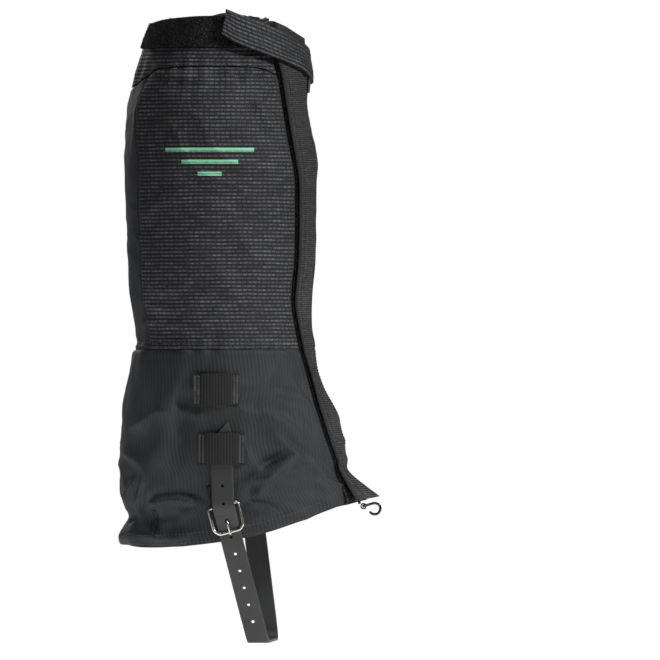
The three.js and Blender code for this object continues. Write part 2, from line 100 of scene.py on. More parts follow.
class Side(Enum):
    """The two sides of the leg, as the sign of the angle round it."""

    OUTER = -1
    INNER = 1


# ---- numbers and curves


@dataclass(frozen=True)
class Curve:
    """A smooth curve through (place, value) pairs in rising order, held flat beyond both ends."""

    pairs: tuple

    def __call__(self, place: Array) -> Array:
        """Cubic through the pairs, with each pair's slope taken from its two neighbours.

        Args:
            place: where to read the curve.
        Returns:
            The curve's value at each place.
        """
        p = np.array(self.pairs, float)
        n = len(p)
        low, high = np.maximum(np.arange(n) - 1, 0), np.minimum(np.arange(n) + 1, n - 1)
        slope = (p[high, 1] - p[low, 1]) / (p[high, 0] - p[low, 0])
        s = np.clip(np.asarray(place, float), p[0, 0], p[-1, 0])
        k = np.clip(np.searchsorted(p[:, 0], s, side="right") - 1, 0, n - 2)
        step = p[k + 1, 0] - p[k, 0]
        t = (s - p[k, 0]) / step
        rise = p[k + 1, 1] - p[k, 1]
        bend = (slope[k] * step - rise) * (1 - t) - (slope[k + 1] * step - rise) * t
        return p[k, 1] + rise * t + bend * t * (1 - t)


def mix(a: Any, b: Any, t: Any) -> Any:
    """The value a share t of the way from a to b."""
    return a + (b - a) * t


def ramp(x: Array, low: float, high: float) -> Array:
    """Rises smoothly from 0 at low to 1 at high (low may be above high): 3t^2 - 2t^3."""
    t = np.clip((np.asarray(x, float) - low) / (high - low), 0, 1)
    return t * t * (3 - 2 * t)


def bell(x: Array, width: float) -> Array:
    """A bell of height 1: the exponential of minus (x / width) squared."""
    return np.exp(-((np.asarray(x, float) / width) ** 2))


def stops(low: float, high: float, count: int) -> Array:
    """Even stops from low to high, with three more in the first and the last step for a rounded edge.

    Args:
        low: the first stop.
        high: the last stop.
        count: how many even steps there are.
    Returns:
        The stops in order.
    """
    share = np.linspace(0, 1, count + 1)
    near = np.array([0.08, 0.25, 0.55]) / count
    return mix(low, high, np.sort(np.concatenate([share, near, 1 - near])))


def rounding(distance: Array, reach: float) -> Array:
    """A quarter circle: 0 at a border and 1 from a reach inside it, the root of 1 - (1 - share)^2."""
    return np.sqrt(1 - (1 - np.clip(distance / reach, 0, 1)) ** 2)


def unit(v: Array) -> Array:
    """The vectors at length 1."""
    return v / np.maximum(np.linalg.norm(v, axis=-1, keepdims=True), 1e-12)


def run_length(points: Array) -> Array:
    """Length along the first axis of a grid of points, from 0."""
    step = np.linalg.norm(np.diff(points, axis=0), axis=-1)
    return np.concatenate([np.zeros_like(step[:1]), np.cumsum(step, axis=0)])


def read_at(place: Array, reach: Array, values: Array) -> Array:
    """Vectors at places along a path, by straight lines between those at the path's own lengths."""
    return np.stack([np.interp(place, reach, values[:, i]) for i in range(3)], -1)


# ---- meshes


def piece(name: str, points: Array, quads: Array, uv: Array) -> bpy.types.Object:
    """Makes a smooth mesh object from arrays, facing outwards.

    Args:
        name: the piece's name.
        points: vertices in millimetres.
        quads: four vertex numbers a face.
        uv: place of each vertex on the flat material, in millimetres.
    Returns:
        The object, linked to the scene.
    """
    a, b, c, d = (points[quads[:, i]] for i in range(4))
    volume = np.einsum("ij,ij->i", a, np.cross(b, c)) + np.einsum("ij,ij->i", a, np.cross(c, d))
    faces = quads if volume.sum() > 0 else quads[:, ::-1]
    mesh = bpy.data.meshes.new(name)
    mesh.vertices.add(len(points))
    mesh.vertices.foreach_set("co", (points * MM).astype(np.float32).ravel())
    mesh.loops.add(faces.size)
    mesh.loops.foreach_set("vertex_index", faces.astype(np.int32).ravel())
    mesh.polygons.add(len(faces))
    mesh.polygons.foreach_set("loop_start", np.arange(0, faces.size, 4, dtype=np.int32))
    mesh.update(calc_edges=True)
    mesh.validate()
    layer = mesh.uv_layers.new(name="flat")
    corner = np.zeros(len(mesh.loops), np.int32)
    mesh.loops.foreach_get("vertex_index", corner)
    layer.data.foreach_set("uv", uv[corner].astype(np.float32).ravel())
    mesh.polygons.foreach_set("use_smooth", np.ones(len(mesh.polygons), bool))
    made = bpy.data.objects.new(name, mesh)
    bpy.context.scene.collection.objects.link(made)
    return made


def grid_quads(rows: int, columns: int, ring: bool = False) -> Array:
    """Faces of a grid of vertices that are numbered row by row.

    Args:
        rows: rows of vertices.
        columns: vertices in a row.
        ring: whether each row's end joins its start.
    Returns:
        Four vertex numbers a face.
    """
    i = np.arange(rows - 1)[:, None] * columns
    j = np.arange(columns if ring else columns - 1)
    k = (j + 1) % columns
    return np.stack([i + j, i + columns + j, i + columns + k, i + k], -1).reshape(-1, 4)


def capped(rows: int, sides: int) -> Array:
    """Faces of a row of rings, closed at both ends by faces that fan out from a ring's first vertex.

    Args:
        rows: how many rings there are.
        sides: vertices in a ring, an even number.
    Returns:
        Four vertex numbers a face.
    """
    k = np.arange(1, sides - 2, 2)
    fan = np.stack([0 * k, k, k + 1, k + 2], -1)
    return np.concatenate([grid_quads(rows, sides, ring=True), fan[:, ::-1], fan + (rows - 1) * sides])


def walls(quads: Array, count: int) -> Array:
    """Faces that close two copies of a sheet: each edge that one face alone uses is joined to its copy.

    Args:
        quads: the sheet's faces.
        count: how far on the copy's vertices are numbered.
    Returns:
        The faces between the two copies.
    """
    edges = np.concatenate([quads[:, [i, (i + 1) % 4]] for i in range(4)])
    key = np.sort(edges, 1)
    _, place, uses = np.unique(key[:, 0] * (count + 1) + key[:, 1], return_index=True, return_counts=True)
    a, b = edges[place[uses == 1]].T
    return np.stack([b, a, a + count, b + count], -1)


def shell(outer: Array, inner: Array, quads: Array | None = None) -> tuple[Array, Array]:
    """A closed layer between two grids of points: both faces, and walls along every border.

    Args:
        outer: points of the outer face, on a grid.
        inner: points of the inner face, on the same grid.
        quads: the faces to keep, or all of the grid's.
    Returns:
        Vertices and faces.
    """
    faces = grid_quads(*outer.shape[:2]) if quads is None else quads
    count = outer.shape[0] * outer.shape[1]
    every = np.concatenate([faces, faces[:, ::-1] + count, walls(faces, count)])
    return np.concatenate([outer.reshape(-1, 3), inner.reshape(-1, 3)]), every


def closed(name: str, outer: Array, inner: Array, uv: Array, quads: Array | None = None) -> bpy.types.Object:
    """The piece that a closed layer makes.

    Args:
        name: the piece's name.
        outer: points of the outer face, on a grid.
        inner: points of the inner face, on the same grid.
        uv: flat place of each grid point.
        quads: the faces to keep, or all of the grid's.
    Returns:
        The object.
    """
    points, every = shell(outer, inner, quads)
    flat = np.concatenate([uv.reshape(-1, 2)] * 2)
    used, order = np.unique(every, return_inverse=True)
    return piece(name, points[used], order.reshape(-1, 4), flat[used])


def tube(path: Array, radius: Array | float, sides: int = 12, loop: bool = False) -> tuple[Array, Array]:
    """A round wire: a circle carried along a path, turned as little as the path allows.

    Args:
        path: centre points in millimetres.
        radius: the wire's radius, one number or one a point.
        sides: how many sides the circle has.
        loop: whether the wire's end joins its start.
    Returns:
        Vertices and faces. An open wire's ends are closed by rings that shrink to nothing.
    """
    back, forward = (np.roll(path, 1, 0), np.roll(path, -1, 0)) if loop else (
        np.concatenate([path[:1], path[:-1]]), np.concatenate([path[1:], path[-1:]]))
    tangent = unit(forward - back)
    seed = np.eye(3)[np.argmin(np.abs(tangent).max(0))]
    normal = unit(np.cross(tangent, seed))
    binormal = np.cross(tangent, normal)
    turn = np.linspace(0, 2 * np.pi, sides, endpoint=False)
    size = np.broadcast_to(np.asarray(radius, float), (len(path),))
    ring = np.cos(turn)[None, :, None] * normal[:, None] + np.sin(turn)[None, :, None] * binormal[:, None]
    points = path[:, None] + ring * size[:, None, None]
    if loop:
        quads = grid_quads(len(path) + 1, sides, ring=True) % (len(path) * sides)
        return points.reshape(-1, 3), quads
    bulge = np.array([0.0, 0.5, 0.87])[:, None, None]
    taper = np.array([0.02, 0.55, 0.87])[:, None, None]
    first = path[0] - tangent[0] * size[0] * (1 - bulge) + ring[0] * size[0] * taper
    last = path[-1] + tangent[-1] * size[-1] * (1 - bulge[::-1]) + ring[-1] * size[-1] * taper[::-1]
    points = np.concatenate([first, points, last])
    return points.reshape(-1, 3), capped(len(points), sides)


def smooth_path(points: Sequence, steps: int) -> Array:
    """A Catmull-Rom curve through points: each stretch is the usual cubic of its four nearest points.

    Args:
        points: the points it goes through.
        steps: steps in each stretch.
    Returns:
        The curve's points.
    """
    p = np.array(points, float)
    q = np.concatenate([2 * p[:1] - p[1:2], p, 2 * p[-1:] - p[-2:-1]])
    t = np.linspace(0, 1, steps, endpoint=False)[None, :, None]
    a, b, c, d = (q[i : len(q) - 3 + i][:, None] for i in range(4))
    curve = 0.5 * (2 * b + (c - a) * t + (2 * a - 5 * b + 4 * c - d) * t**2 + (3 * b - 3 * c + d - a) * t**3)
    return np.concatenate([curve.reshape(-1, 3), p[-1:]])


def rounded(points: Sequence, reach: Array | float, steps: int) -> Array:
    """The corners of a closed path of straight runs, each as a parabola that starts a reach from its corner.

    Args:
        points: the corners.
        reach: where the parabolas start, one number or one a corner.
        steps: points in each parabola.
    Returns:
        Points on a grid of corners and steps.
    """
    p = np.array(points, float)
    before, after = unit(np.roll(p, 1, 0) - p), unit(np.roll(p, -1, 0) - p)
    t = np.linspace(0, 1, steps)[None, :, None]
    a, b, c = (p + before * reach)[:, None], p[:, None], (p + after * reach)[:, None]
    return (1 - t) ** 2 * a + 2 * t * (1 - t) * b + t**2 * c


def lathe(profile: Array, seat: Array, axis: Array, sides: int = 28) -> tuple[Array, Array]:
    """A turned shape: a profile carried round an axis and closed at both ends.

    Args:
        profile: (radius, height) pairs in order.
        seat: where the axis starts.
        axis: the axis's direction.
        sides: vertices in a turn.
    Returns:
        Vertices and faces.
    """
    side = unit(np.cross(axis, [0.3, 0.2, 0.9]))
    other = np.cross(axis, side)
    turn = np.linspace(0, 2 * np.pi, sides, endpoint=False)
    radius, height = np.maximum(profile[:, 0], 0.01), profile[:, 1]
    ring = np.cos(turn)[None, :, None] * side + np.sin(turn)[None, :, None] * other
    points = seat + ring * radius[:, None, None] + axis * height[:, None, None]
    return points.reshape(-1, 3), capped(len(profile), sides)


def together(parts: Sequence[tuple[Array, Array]]) -> tuple[Array, Array]:
    """Several (vertices, faces) pairs as one."""
    start = np.cumsum([0] + [len(p) for p, _ in parts[:-1]])
    return np.concatenate([p for p, _ in parts]), np.concatenate([q + s for (_, q), s in zip(parts, start)])


# ---- the skin and its folds


@dataclass(frozen=True)
class Fold:
    """A soft crease in the cloth between two places (along the leg's side, height) on one side of the leg."""

    start: tuple
    end: tuple
    width: float
    height: float
    side: Side = Side.OUTER
    bow: float = 0.0

    def relief(self, skin: "Skin", angle: Array, z: Array) -> Array:
        """Height of the crease: a bell across it with a shallower valley beside it, fading at both ends.

        Args:
            skin: the surface that the places are on.
            angle: angles round the leg.
            z: heights.
        Returns:
            The crease's height at each point.
        """
        ends = np.array([self.start, self.end], float)
        s = skin.angle_of(ends[:, 0], ends[:, 1], self.side) * ARC
        a, b = np.array([s[0], ends[0, 1]]), np.array([s[1], ends[1, 1]])
        along = (b - a) / np.linalg.norm(b - a)
        place = np.stack([angle * ARC - a[0], z - a[1]], -1)
        t = place @ along / np.linalg.norm(b - a)
        off = place @ np.array([-along[1], along[0]]) - self.bow * 4 * t * (1 - t)
        width = 0.8 * self.width
        across = bell(off, width) - 0.6 * bell(off - 1.8 * width, 1.1 * width)
        return 3.0 * self.height * across * ramp(t, -0.05, 0.3) * ramp(t, 1.05, 0.7)


class Skin:
    """The surface that the cloth lies on: an egg-shaped section at each height, with folds."""

    rear = Curve(((64, -102.5), (78, -106), (94, -102), (110, -105.5), (130, -107), (173, -104.5),
                  (202, -99.5), (216, -97.5), (223, -94), (262, -100), (315, -102.5), (361, -104),
                  (403, -101), (437, -92), (452, -88), (468, -81)))
    front = Curve(((64, 68), (104, 64), (127, 60), (151, 57), (173, 50), (187, 43), (202, 37.5), (217, 36),
                   (236, 33.5), (262, 34), (285, 36), (343, 37), (361, 37.5), (386, 32.5), (403, 30),
                   (425, 31), (437, 29), (468, 27)))
    half_width = Curve(((64, 52), (94, 53), (127, 56), (173, 58.5), (215, 60), (224, 58), (285, 64),
                        (343, 67), (403, 66), (437, 59), (468, 54)))
    edge = Curve(((100, 57), (118, 56), (133, 53), (156, 46), (179, 39), (205, 31.5), (220, 27.5), (233, 25),
                  (254, 22), (286, 24.5), (331, 25), (348, 24.5), (379, 19), (417, 12.5), (436, 9), (468, 5)))
    hem = Curve(((-1, 71.5), (-0.8, 69), (-0.38, 71), (0.15, 78), (0.6, 90), (0.92, 101), (1, 104)))
    collar = Curve(((-1, 415), (-0.85, 424), (-0.7, 429), (0.4, 429.5), (0.7, 424), (1, 420)))
    rim = Curve(((-1, 463), (-0.74, 466), (-0.2, 468), (0.48, 467), (0.72, 464), (1, 454)))
    egg = 0.12
    strap_outer = Curve(((60, -42), (100, -38), (150, -30), (190, -34)))
    strap_inner = Curve(((60, -6), (80, -7), (120, -12), (190, -14)))
    fold_x = 10.0
    fold_cover = 4 * RAD
    lip_reach = 20.0
    folds = (
        Fold((-17, 115), (30, 142), 4.2, 1.7, bow=-2),
        Fold((-15, 102), (12, 95.5), 2.6, 1.3, bow=1),
        Fold((-86, 99), (-37, 100), 3.2, 1.4, bow=6),
        Fold((-94, 124), (-101, 90), 4.0, 1.8),
        Fold((-88, 122), (-95, 96), 3.0, 1.0),
        Fold((14, 217), (27, 206), 2.2, 1.1),
        Fold((42, 136), (54, 121), 2.6, 1.0),
        Fold((20, 200), (43, 163), 3.6, 0.7),
        Fold((-6, 104), (22, 140), 3.2, 0.8, bow=2),
        Fold((8, 186), (38, 176), 2.6, 0.7, bow=1),
        Fold((10, 153), (44, 127), 3.4, 0.9, bow=-2),
        Fold((16, 127), (50, 111), 3.0, 0.8, bow=2),
        Fold((22, 172), (36, 150), 2.6, 0.6),
        Fold((-62, 205), (-70, 150), 4.5, 0.5),
        Fold((-72, 190), (-78, 125), 9.0, 1.5),
        Fold((-3, 170), (33, 150), 6.0, 0.9, bow=2),
        Fold((-12, 128), (42, 120), 5.0, 0.8, bow=3),
        Fold((-25, 431), (-13, 417), 2.4, -0.42),
        Fold((-13, 417), (2, 427), 2.4, -0.42),
        Fold((-5, 410), (9, 380), 5.0, 0.8),
        Fold((6, 360), (16, 300), 7.0, 0.7),
        Fold((-85, 420), (-96, 360), 7.0, 0.9),
        Fold((-60, 300), (-15, 250), 9.0, 0.5, bow=4),
        Fold((-8, 120), (-60, 150), 5.0, 1.4, Side.INNER, bow=3),
        Fold((-8, 112), (-50, 96), 4.0, 1.3, Side.INNER, bow=-3),
        Fold((4, 126), (0, 190), 7.0, 1.0, Side.INNER),
        Fold((-70, 210), (-80, 130), 9.0, 1.3, Side.INNER),
        Fold((-40, 400), (-60, 330), 8.0, 0.9, Side.INNER, bow=3),
        Fold((-20, 330), (-50, 250), 9.0, 0.8, Side.INNER),
        Fold((-80, 300), (-96, 240), 7.0, 0.8, Side.INNER),
    )

    def point(self, angle: Array, z: Array) -> Array:
        """A point of the bare skin: angle 0 is the front and +90 degrees the inner side.

        Args:
            angle: angles round the leg.
            z: heights.
        Returns:
            x = middle + reach cos(angle), y = half width sin(angle) (1 - egg cos(angle)), and z.
        """
        front, rear, c = self.front(z), self.rear(z), np.cos(angle)
        x = (front + rear) / 2 + (front - rear) / 2 * c
        y = self.half_width(z) * np.sin(angle) * (1 - self.egg * c)
        return np.stack(np.broadcast_arrays(x, y, z), -1)

    def normal(self, angle: Array, z: Array) -> Array:
        """The bare skin's direction outwards: its slope round the leg crossed with its slope up the leg."""
        turn = self.point(angle + 0.01, z) - self.point(angle - 0.01, z)
        return unit(np.cross(turn, self.point(angle, z + 0.5) - self.point(angle, z - 0.5)))

    def at(self, angle: Array, z: Array, depth: Array) -> Array:
        """Points a depth off the bare skin."""
        angle, z, depth = np.broadcast_arrays(*(np.asarray(v, float) for v in (angle, z, depth)))
        return self.point(angle, z) + self.normal(angle, z) * depth[..., None]

    def draped(self, angle: Array, z: Array, depth: Array) -> Array:
        """Points a depth off the skin with its folds."""
        return self.at(angle, z, depth + self.relief(angle, z))

    def height(self, angle: Array, level: Array) -> Array:
        """Height of a level: 0 is the hem, 1 the waist seam, 2 the collar's seam and 3 the rim.

        Args:
            angle: angles round the leg.
            level: levels.
        Returns:
            Heights, by straight lines between the four levels' own curves.
        """
        c = np.cos(angle)
        low = mix(self.hem(c), WAIST, level)
        middle = mix(WAIST, self.collar(c), level - 1)
        high = mix(self.collar(c), self.rim(c), level - 2)
        return np.where(level <= 1, low, np.where(level <= 2, middle, high))

    def angle_of(self, x: Array, z: Array, side: Side) -> Array:
        """The angle at which a side of the leg has a place, by the arc cosine of the place's share.

        Args:
            x: places along the leg's side.
            z: heights.
            side: the side of the leg.
        Returns:
            Angles round the leg.
        """
        front, rear = self.front(z), self.rear(z)
        c = (np.asarray(x, float) - (front + rear) / 2) / ((front - rear) / 2)
        return side.value * np.arccos(np.clip(c, -1, 1))

    def front_edge(self, level: Array) -> Array:
        """Angle of the outer panel's front edge at a level."""
        z = self.height(-35 * RAD, level)
        return self.angle_of(self.edge(z), z, Side.OUTER)

    def fold_line(self, level: Array) -> Array:
        """Angle of the line that the flap turns about, at a level."""
        z = self.height(55 * RAD, level)
        return self.angle_of(np.full_like(z, self.fold_x), z, Side.INNER)

    def lip(self, angle: Array, z: Array) -> Array:
        """How far the flap's lower lip reaches forward at an angle and a height."""
        down = np.clip((128 - z) / 22, 0, None).clip(0, 1) ** 1.4
        return self.lip_reach * down * np.cos(np.minimum(np.abs(angle) * 1.9, np.pi / 2)) ** 2

    def relief(self, angle: Array, z: Array) -> Array:
        """Height of the cloth's folds over the bare skin.

        The folds carry on past the rear by a blend of both sides' own. They are calmed to about a third on
        the collar and beside the flap's free edge, where layers lie close. Under the strap's ends, what
        stands up is pressed to a fifth.

        Args:
            angle: angles round the leg.
            z: heights.
        Returns:
            The relief in millimetres.
        """
        angle, z = np.broadcast_arrays(np.asarray(angle, float), np.asarray(z, float))
        turned = (angle + np.pi) % (2 * np.pi) - np.pi
        total = np.zeros(angle.shape)
        past = 0.5 * ramp(np.abs(turned), 140 * RAD, np.pi)
        for turn, share in ((turned, 1 - past), (turned - np.sign(turned) * 2 * np.pi, past)):
            total = total + share * self.folded(turn, z)
        low = ramp(z, 212, 165)
        edge_off = np.abs(turned - self.angle_of(self.edge(z), z, Side.OUTER))
        calm = ramp(edge_off, 0, 0.16)
        front = ramp(turned, -1.0, -0.75) * ramp(turned, 0.95, 0.75)
        collar = ramp(z, 436, 446)
        total = total * mix(1, 0.35, collar) * mix(1, mix(0.3, 0.6, low), front) * mix(0.35, 1, calm)
        x = self.point(turned, z)[..., 0]
        line = np.where(turned < 0, self.strap_outer(z), self.strap_inner(z))
        under_strap = ramp(np.abs(x - line), 17, 11) * ramp(z, 178, 165)
        return np.where(total > 0, total * (1 - 0.8 * under_strap), total)

    def folded(self, turned: Array, z: Array) -> Array:
        """The folds before they are calmed, at angles that don't wrap round.

        They are the sum of long soft waves, crumples, the named creases, gathers round the ankle's elastic
        and under the collar, puckers beside the waist seam and the hem, and a groove at the waist seam.

        Args:
            turned: angles round the leg, of which those past half a turn carry the other side's folds on.
            z: heights.
        Returns:
            Height of the folds in millimetres.
        """
        s = turned * ARC
        waves = (0.5 * np.sin(s / 13 + z / 31 + 1.1) * np.sin(z / 24 + 0.6 + s / 90)
                 + 0.35 * np.sin(s / 7.1 - z / 17 + 0.4) * np.sin(z / 37 + s / 29)
                 + 0.2 * np.sin(s / 4.2 + z / 9.3 + 2.0) * np.sin(z / 12 - s / 23))
        low = ramp(z, 212, 165)
        total = waves * (1 + 0.7 * low) + self.crumple(s, z) * (1.15 + 0.95 * low)
        for fold in self.folds:
            total = total + fold.relief(self, turned, z)
        back = ramp(np.abs(turned), 116 * RAD, 134 * RAD)
        wobble = s / 4.6 + 1.3 * np.sin(s / 11) + 0.5 * np.sin(z / 5)
        pinch = -2.4 * bell(z - 91, 6) + 1.3 * bell(z - 108, 9) + 1.2 * bell(z - 76, 5)
        total = total + back * (pinch + np.cos(wobble) * 1.9 * bell(z - 92, 12))
        puff = 0.7 * np.cos(s / 2.9 + 1.4 * np.sin(s / 9)) * np.exp(-np.abs(z - WAIST) / 9)
        groove = -1.2 * bell(z - WAIST, 1.1) + 0.5 * bell(z - WAIST - 3.2, 2.2) - 0.3 * bell(z - WAIST + 5, 4)
        under = 0.9 * np.cos(s / 2.4 + np.sin(s / 10)) * np.exp(-np.abs(z - 426) / 13) * ramp(z, 455, 430)
        hem = 0.6 * np.cos(s / 2.9 + np.sin(s / 7)) * bell(z - 74, 7)
        return total + puff + groove + under + hem

    def crumple(self, s: Array, z: Array) -> Array:
        """Sharp-edged creases in patches: folded sines, whose phase is bent by two slow waves.

        Args:
            s: places round the leg in millimetres.
            z: heights.
        Returns:
            Height of the creases in millimetres, 0 to about 1.5.
        """
        bend = 1.3 * np.sin(s / 17 + z / 29) + 0.9 * np.sin(z / 13 - s / 31 + 2)
        first = (1 - np.abs(np.sin(s / 21 + z / 13 + bend))) ** 1.4
        second = (1 - np.abs(np.sin(z / 8 - s / 33 + 1.4 * bend + 1))) ** 1.4
        patch = 0.5 + 0.5 * np.sin(s / 41 + 1.7) * np.sin(z / 33 + 0.4)
        return 1.4 * first * patch + 0.9 * second * (1 - patch)


SKIN = Skin()


# ---- finishes


class Sock:
    """A shader socket that arithmetic works on."""

    def __init__(self, shader: "Shader", socket: Any) -> None:
        """Keeps the socket and the shader that it belongs to."""
        self.shader, self.socket = shader, socket

    def __add__(self, other: Any) -> "Sock":
        """Sum."""
        return self.shader.math("ADD", self, other)

    def __sub__(self, other: Any) -> "Sock":
        """Difference."""
        return self.shader.math("SUBTRACT", self, other)

    def __rsub__(self, other: Any) -> "Sock":
        """Difference with the socket second."""
        return self.shader.math("SUBTRACT", other, self)

    def __mul__(self, other: Any) -> "Sock":
        """Product."""
        return self.shader.math("MULTIPLY", self, other)

    def __truediv__(self, other: Any) -> "Sock":
        """Quotient."""
        return self.shader.math("DIVIDE", self, other)

    __radd__, __rmul__ = __add__, __mul__


class Shader:
    """A material with one principled shader, whose inputs are built by expressions."""

    def __init__(self, name: str, roughness: float = 0.8, metallic: float = 0.0, **fixed: float) -> None:
        """Starts the material.

        Args:
            name: the material's name.
            roughness: the shader's roughness.
            metallic: the shader's metallic share.
            fixed: other inputs that are the same all over, by socket name with _ for a space.
        """
        self.material = bpy.data.materials.new(name)
        self.material.use_nodes = True
        self.tree = self.material.node_tree
        self.base = self.tree.nodes["Principled BSDF"]
        self.base.inputs["Roughness"].default_value = roughness
        self.base.inputs["Metallic"].default_value = metallic
        for key, value in fixed.items():
            self.base.inputs[key.replace("_", " ")].default_value = value

    def node(self, kind: str, settings: dict | None = None, inputs: dict | None = None) -> Any:
        """Adds a node.

        Args:
            kind: the node's type.
            settings: its own settings, set first.
            inputs: value or Sock for each input, by name or number.
        Returns:
            The node.
        """
        made = self.tree.nodes.new(kind)
        for key, value in (settings or {}).items():
            setattr(made, key, value)
        for key, value in (inputs or {}).items():
            if isinstance(value, Sock):
                self.tree.links.new(value.socket, made.inputs[key])
            else:
                made.inputs[key].default_value = value
        return made

    def math(self, operation: str, *values: Any) -> Sock:
        """A Math node on numbers and Socks."""
        made = self.node("ShaderNodeMath", {"operation": operation}, dict(enumerate(values)))
        return Sock(self, made.outputs[0])

    def colour(self, share: Sock, low: Any, high: Any) -> Sock:
        """Mixes two colours.

        Args:
            share: how much of the second there is.
            low: the first colour, as numbers or a Sock.
            high: the second colour, as numbers or a Sock.
        Returns:
            The mixed colour.
        """
        made = self.node("ShaderNodeMix", {"data_type": "RGBA"}, {0: share})
        for place, value in ((6, low), (7, high)):
            if isinstance(value, Sock):
                self.tree.links.new(value.socket, made.inputs[place])
            else:
                made.inputs[place].default_value = (*value, 1)
        return Sock(self, made.outputs[2])

    def flat(self) -> tuple[Sock, Sock]:
        """Reads the place on the flat material.

        Returns:
            Both places in millimetres.
        """
        uv = self.node("ShaderNodeUVMap", {"uv_map": "flat"})
        split = self.node("ShaderNodeSeparateXYZ", None, {0: Sock(self, uv.outputs[0])})
        return Sock(self, split.outputs[0]), Sock(self, split.outputs[1])

    def noise(self, scale: float, detail: float = 3.0, stretch: Sequence = (1, 1, 1)) -> Sock:
        """Noise over the object's own coordinates, around 0.5.

        Args:
            scale: cells a metre.
            detail: finer scales added.
            stretch: factors on the coordinates.
        Returns:
            The noise.
        """
        place = self.node("ShaderNodeTexCoord")
        mapped = self.node("ShaderNodeMapping", None,
                           {"Vector": Sock(self, place.outputs["Object"]), "Scale": stretch})
        made = self.node("ShaderNodeTexNoise", None,
                         {"Vector": Sock(self, mapped.outputs[0]), "Scale": scale, "Detail": detail})
        return Sock(self, made.outputs["Fac"])

    def chance(self, a: Any, b: Any = 0.0) -> Sock:
        """A random number for each pair of whole numbers.

        Args:
            a: the first number.
            b: the second number.
        Returns:
            A number from 0 to 1.
        """
        pair = self.node("ShaderNodeCombineXYZ", None, {0: a, 1: b})
        made = self.node("ShaderNodeTexWhiteNoise", {"noise_dimensions": "2D"},
                         {"Vector": Sock(self, pair.outputs[0])})
        return Sock(self, made.outputs["Value"])

    def step(self, x: Sock, low: float, high: float) -> Sock:
        """Rises smoothly from 0 at low to 1 at high."""
        made = self.node("ShaderNodeMapRange", {"interpolation_type": "SMOOTHSTEP"}, {0: x, 1: low, 2: high})
        return Sock(self, made.outputs[0])

    def wave(self, x: Sock, pitch: float) -> Sock:
        """Rises and falls between 0 and 1 once a pitch."""
        return self.math("SINE", x * (2 * np.pi / pitch)) * 0.5 + 0.5

    def done(self, colour: Sock, bump: Sock, depth: float, roughness: Any = None) -> bpy.types.Material:
        """Links the results.

        Args:
            colour: the base colour.
            bump: height from 0 to 1.
            depth: what a height of 1 stands for, in millimetres.
            roughness: a Sock, if it varies.
        Returns:
            The material.
        """
        self.tree.links.new(colour.socket, self.base.inputs["Base Color"])
        if roughness is not None:
            self.tree.links.new(roughness.socket, self.base.inputs["Roughness"])
        made = self.node("ShaderNodeBump", None, {"Height": bump, "Distance": depth * MM, "Strength": 1.0})
        self.tree.links.new(made.outputs[0], self.base.inputs["Normal"])
        return self.material


def grey(r: float, g: float, b: float) -> tuple:
    """A screen colour, 0 to 255, as linear light."""
    c = np.array([r, g, b]) / 255
    return tuple(float(v) for v in np.where(c <= 0.04045, c / 12.92, ((c + 0.055) / 1.055) ** 2.4))


@dataclass(frozen=True)
class Ripstop:
    """Cloth woven with rows of heavy floats: light dashes across, in rows a pitch apart."""

    name: str
    pitch: float = 2.87
    dash: float = 4.1
    ground: tuple = (25, 26, 29)
    float_colour: tuple = (98, 99, 104)
    depth: float = 0.3

    def build(self) -> bpy.types.Material:
        """Rows by the rounded-down height over the pitch.

        Each row has two runs of dashes, a short and a long one, each shifted by the row's own random share. A
        float is bright where both runs are, and dim where one of them breaks.

        Returns:
            The material.
        """
        g = Shader(self.name, 0.62, Specular_IOR_Level=0.4)
        u, v = g.flat()
        lean = (v + (g.noise(9, 2) - 0.5) * 1.6 + (g.noise(70, 2) - 0.5) * 0.7) / self.pitch
        row, high = g.math("FLOOR", lean), g.math("FRACT", lean)
        runs, strength = [], []
        for share, seed, soft in ((1.0, 3.0, 0.26), (2.45, 8.0, 0.1)):
            along = u / (self.dash * share) + g.chance(row, seed) * (0.35 if share == 1 else 9)
            cell, place = g.math("FLOOR", along), g.math("FRACT", along)
            runs.append(g.step(place, 0.0, soft) * (1 - g.step(place, 1 - soft, 1.0)))
            strength.append(g.chance(cell, row + seed))
        band = g.step(high, 0.08, 0.36) * (1 - g.step(high, 0.5, 0.8))
        floats = (runs[0] * 0.72 + 0.28) * (runs[1] * 0.6 + 0.4) * band
        weave = g.wave(u, 0.62) * g.wave(v, 0.62)
        patch = g.noise(22, 3)
        tone = floats * (strength[0] * 0.35 + strength[1] * 0.55 + 0.2) * (patch * 1.1 + 0.45)
        base = g.colour(weave * 0.5 + patch * 0.5, grey(*[c * 0.7 for c in self.ground]), grey(*self.ground))
        colour = g.colour(tone, base, grey(*self.float_colour))
        return g.done(colour, floats * 0.75 + weave * 0.25, self.depth, 0.72 - floats * 0.2)


@dataclass(frozen=True)
class Plain:
    """Closely woven cloth with fine upright ribs and a soft sheen."""

    name: str
    low: tuple = (18, 19, 21)
    high: tuple = (55, 57, 61)
    rib: float = 2.95
    depth: float = 0.24

    def build(self) -> bpy.types.Material:
        """Upright ribs by a sine of the place across, broken up by noise that is stretched along them.

        Returns:
            The material.
        """
        g = Shader(self.name, 0.66, Specular_IOR_Level=0.42)
        u, v = g.flat()
        bent = u + (g.noise(14, 2) - 0.5) * 3.0
        ribs = g.wave(bent, self.rib)
        fine = g.wave(u, 0.55) * g.wave(v, 0.55)
        slub = g.noise(260, 2, (1, 1, 0.12))
        patch = g.noise(16, 3)
        tone = ribs * 0.36 + slub * 0.36 + patch * 0.55 - 0.16
        colour = g.colour(tone, grey(*self.low), grey(*self.high))
        return g.done(colour, ribs * 0.4 + fine * 0.25 + slub * 0.35, self.depth, 0.76 - patch * 0.2)


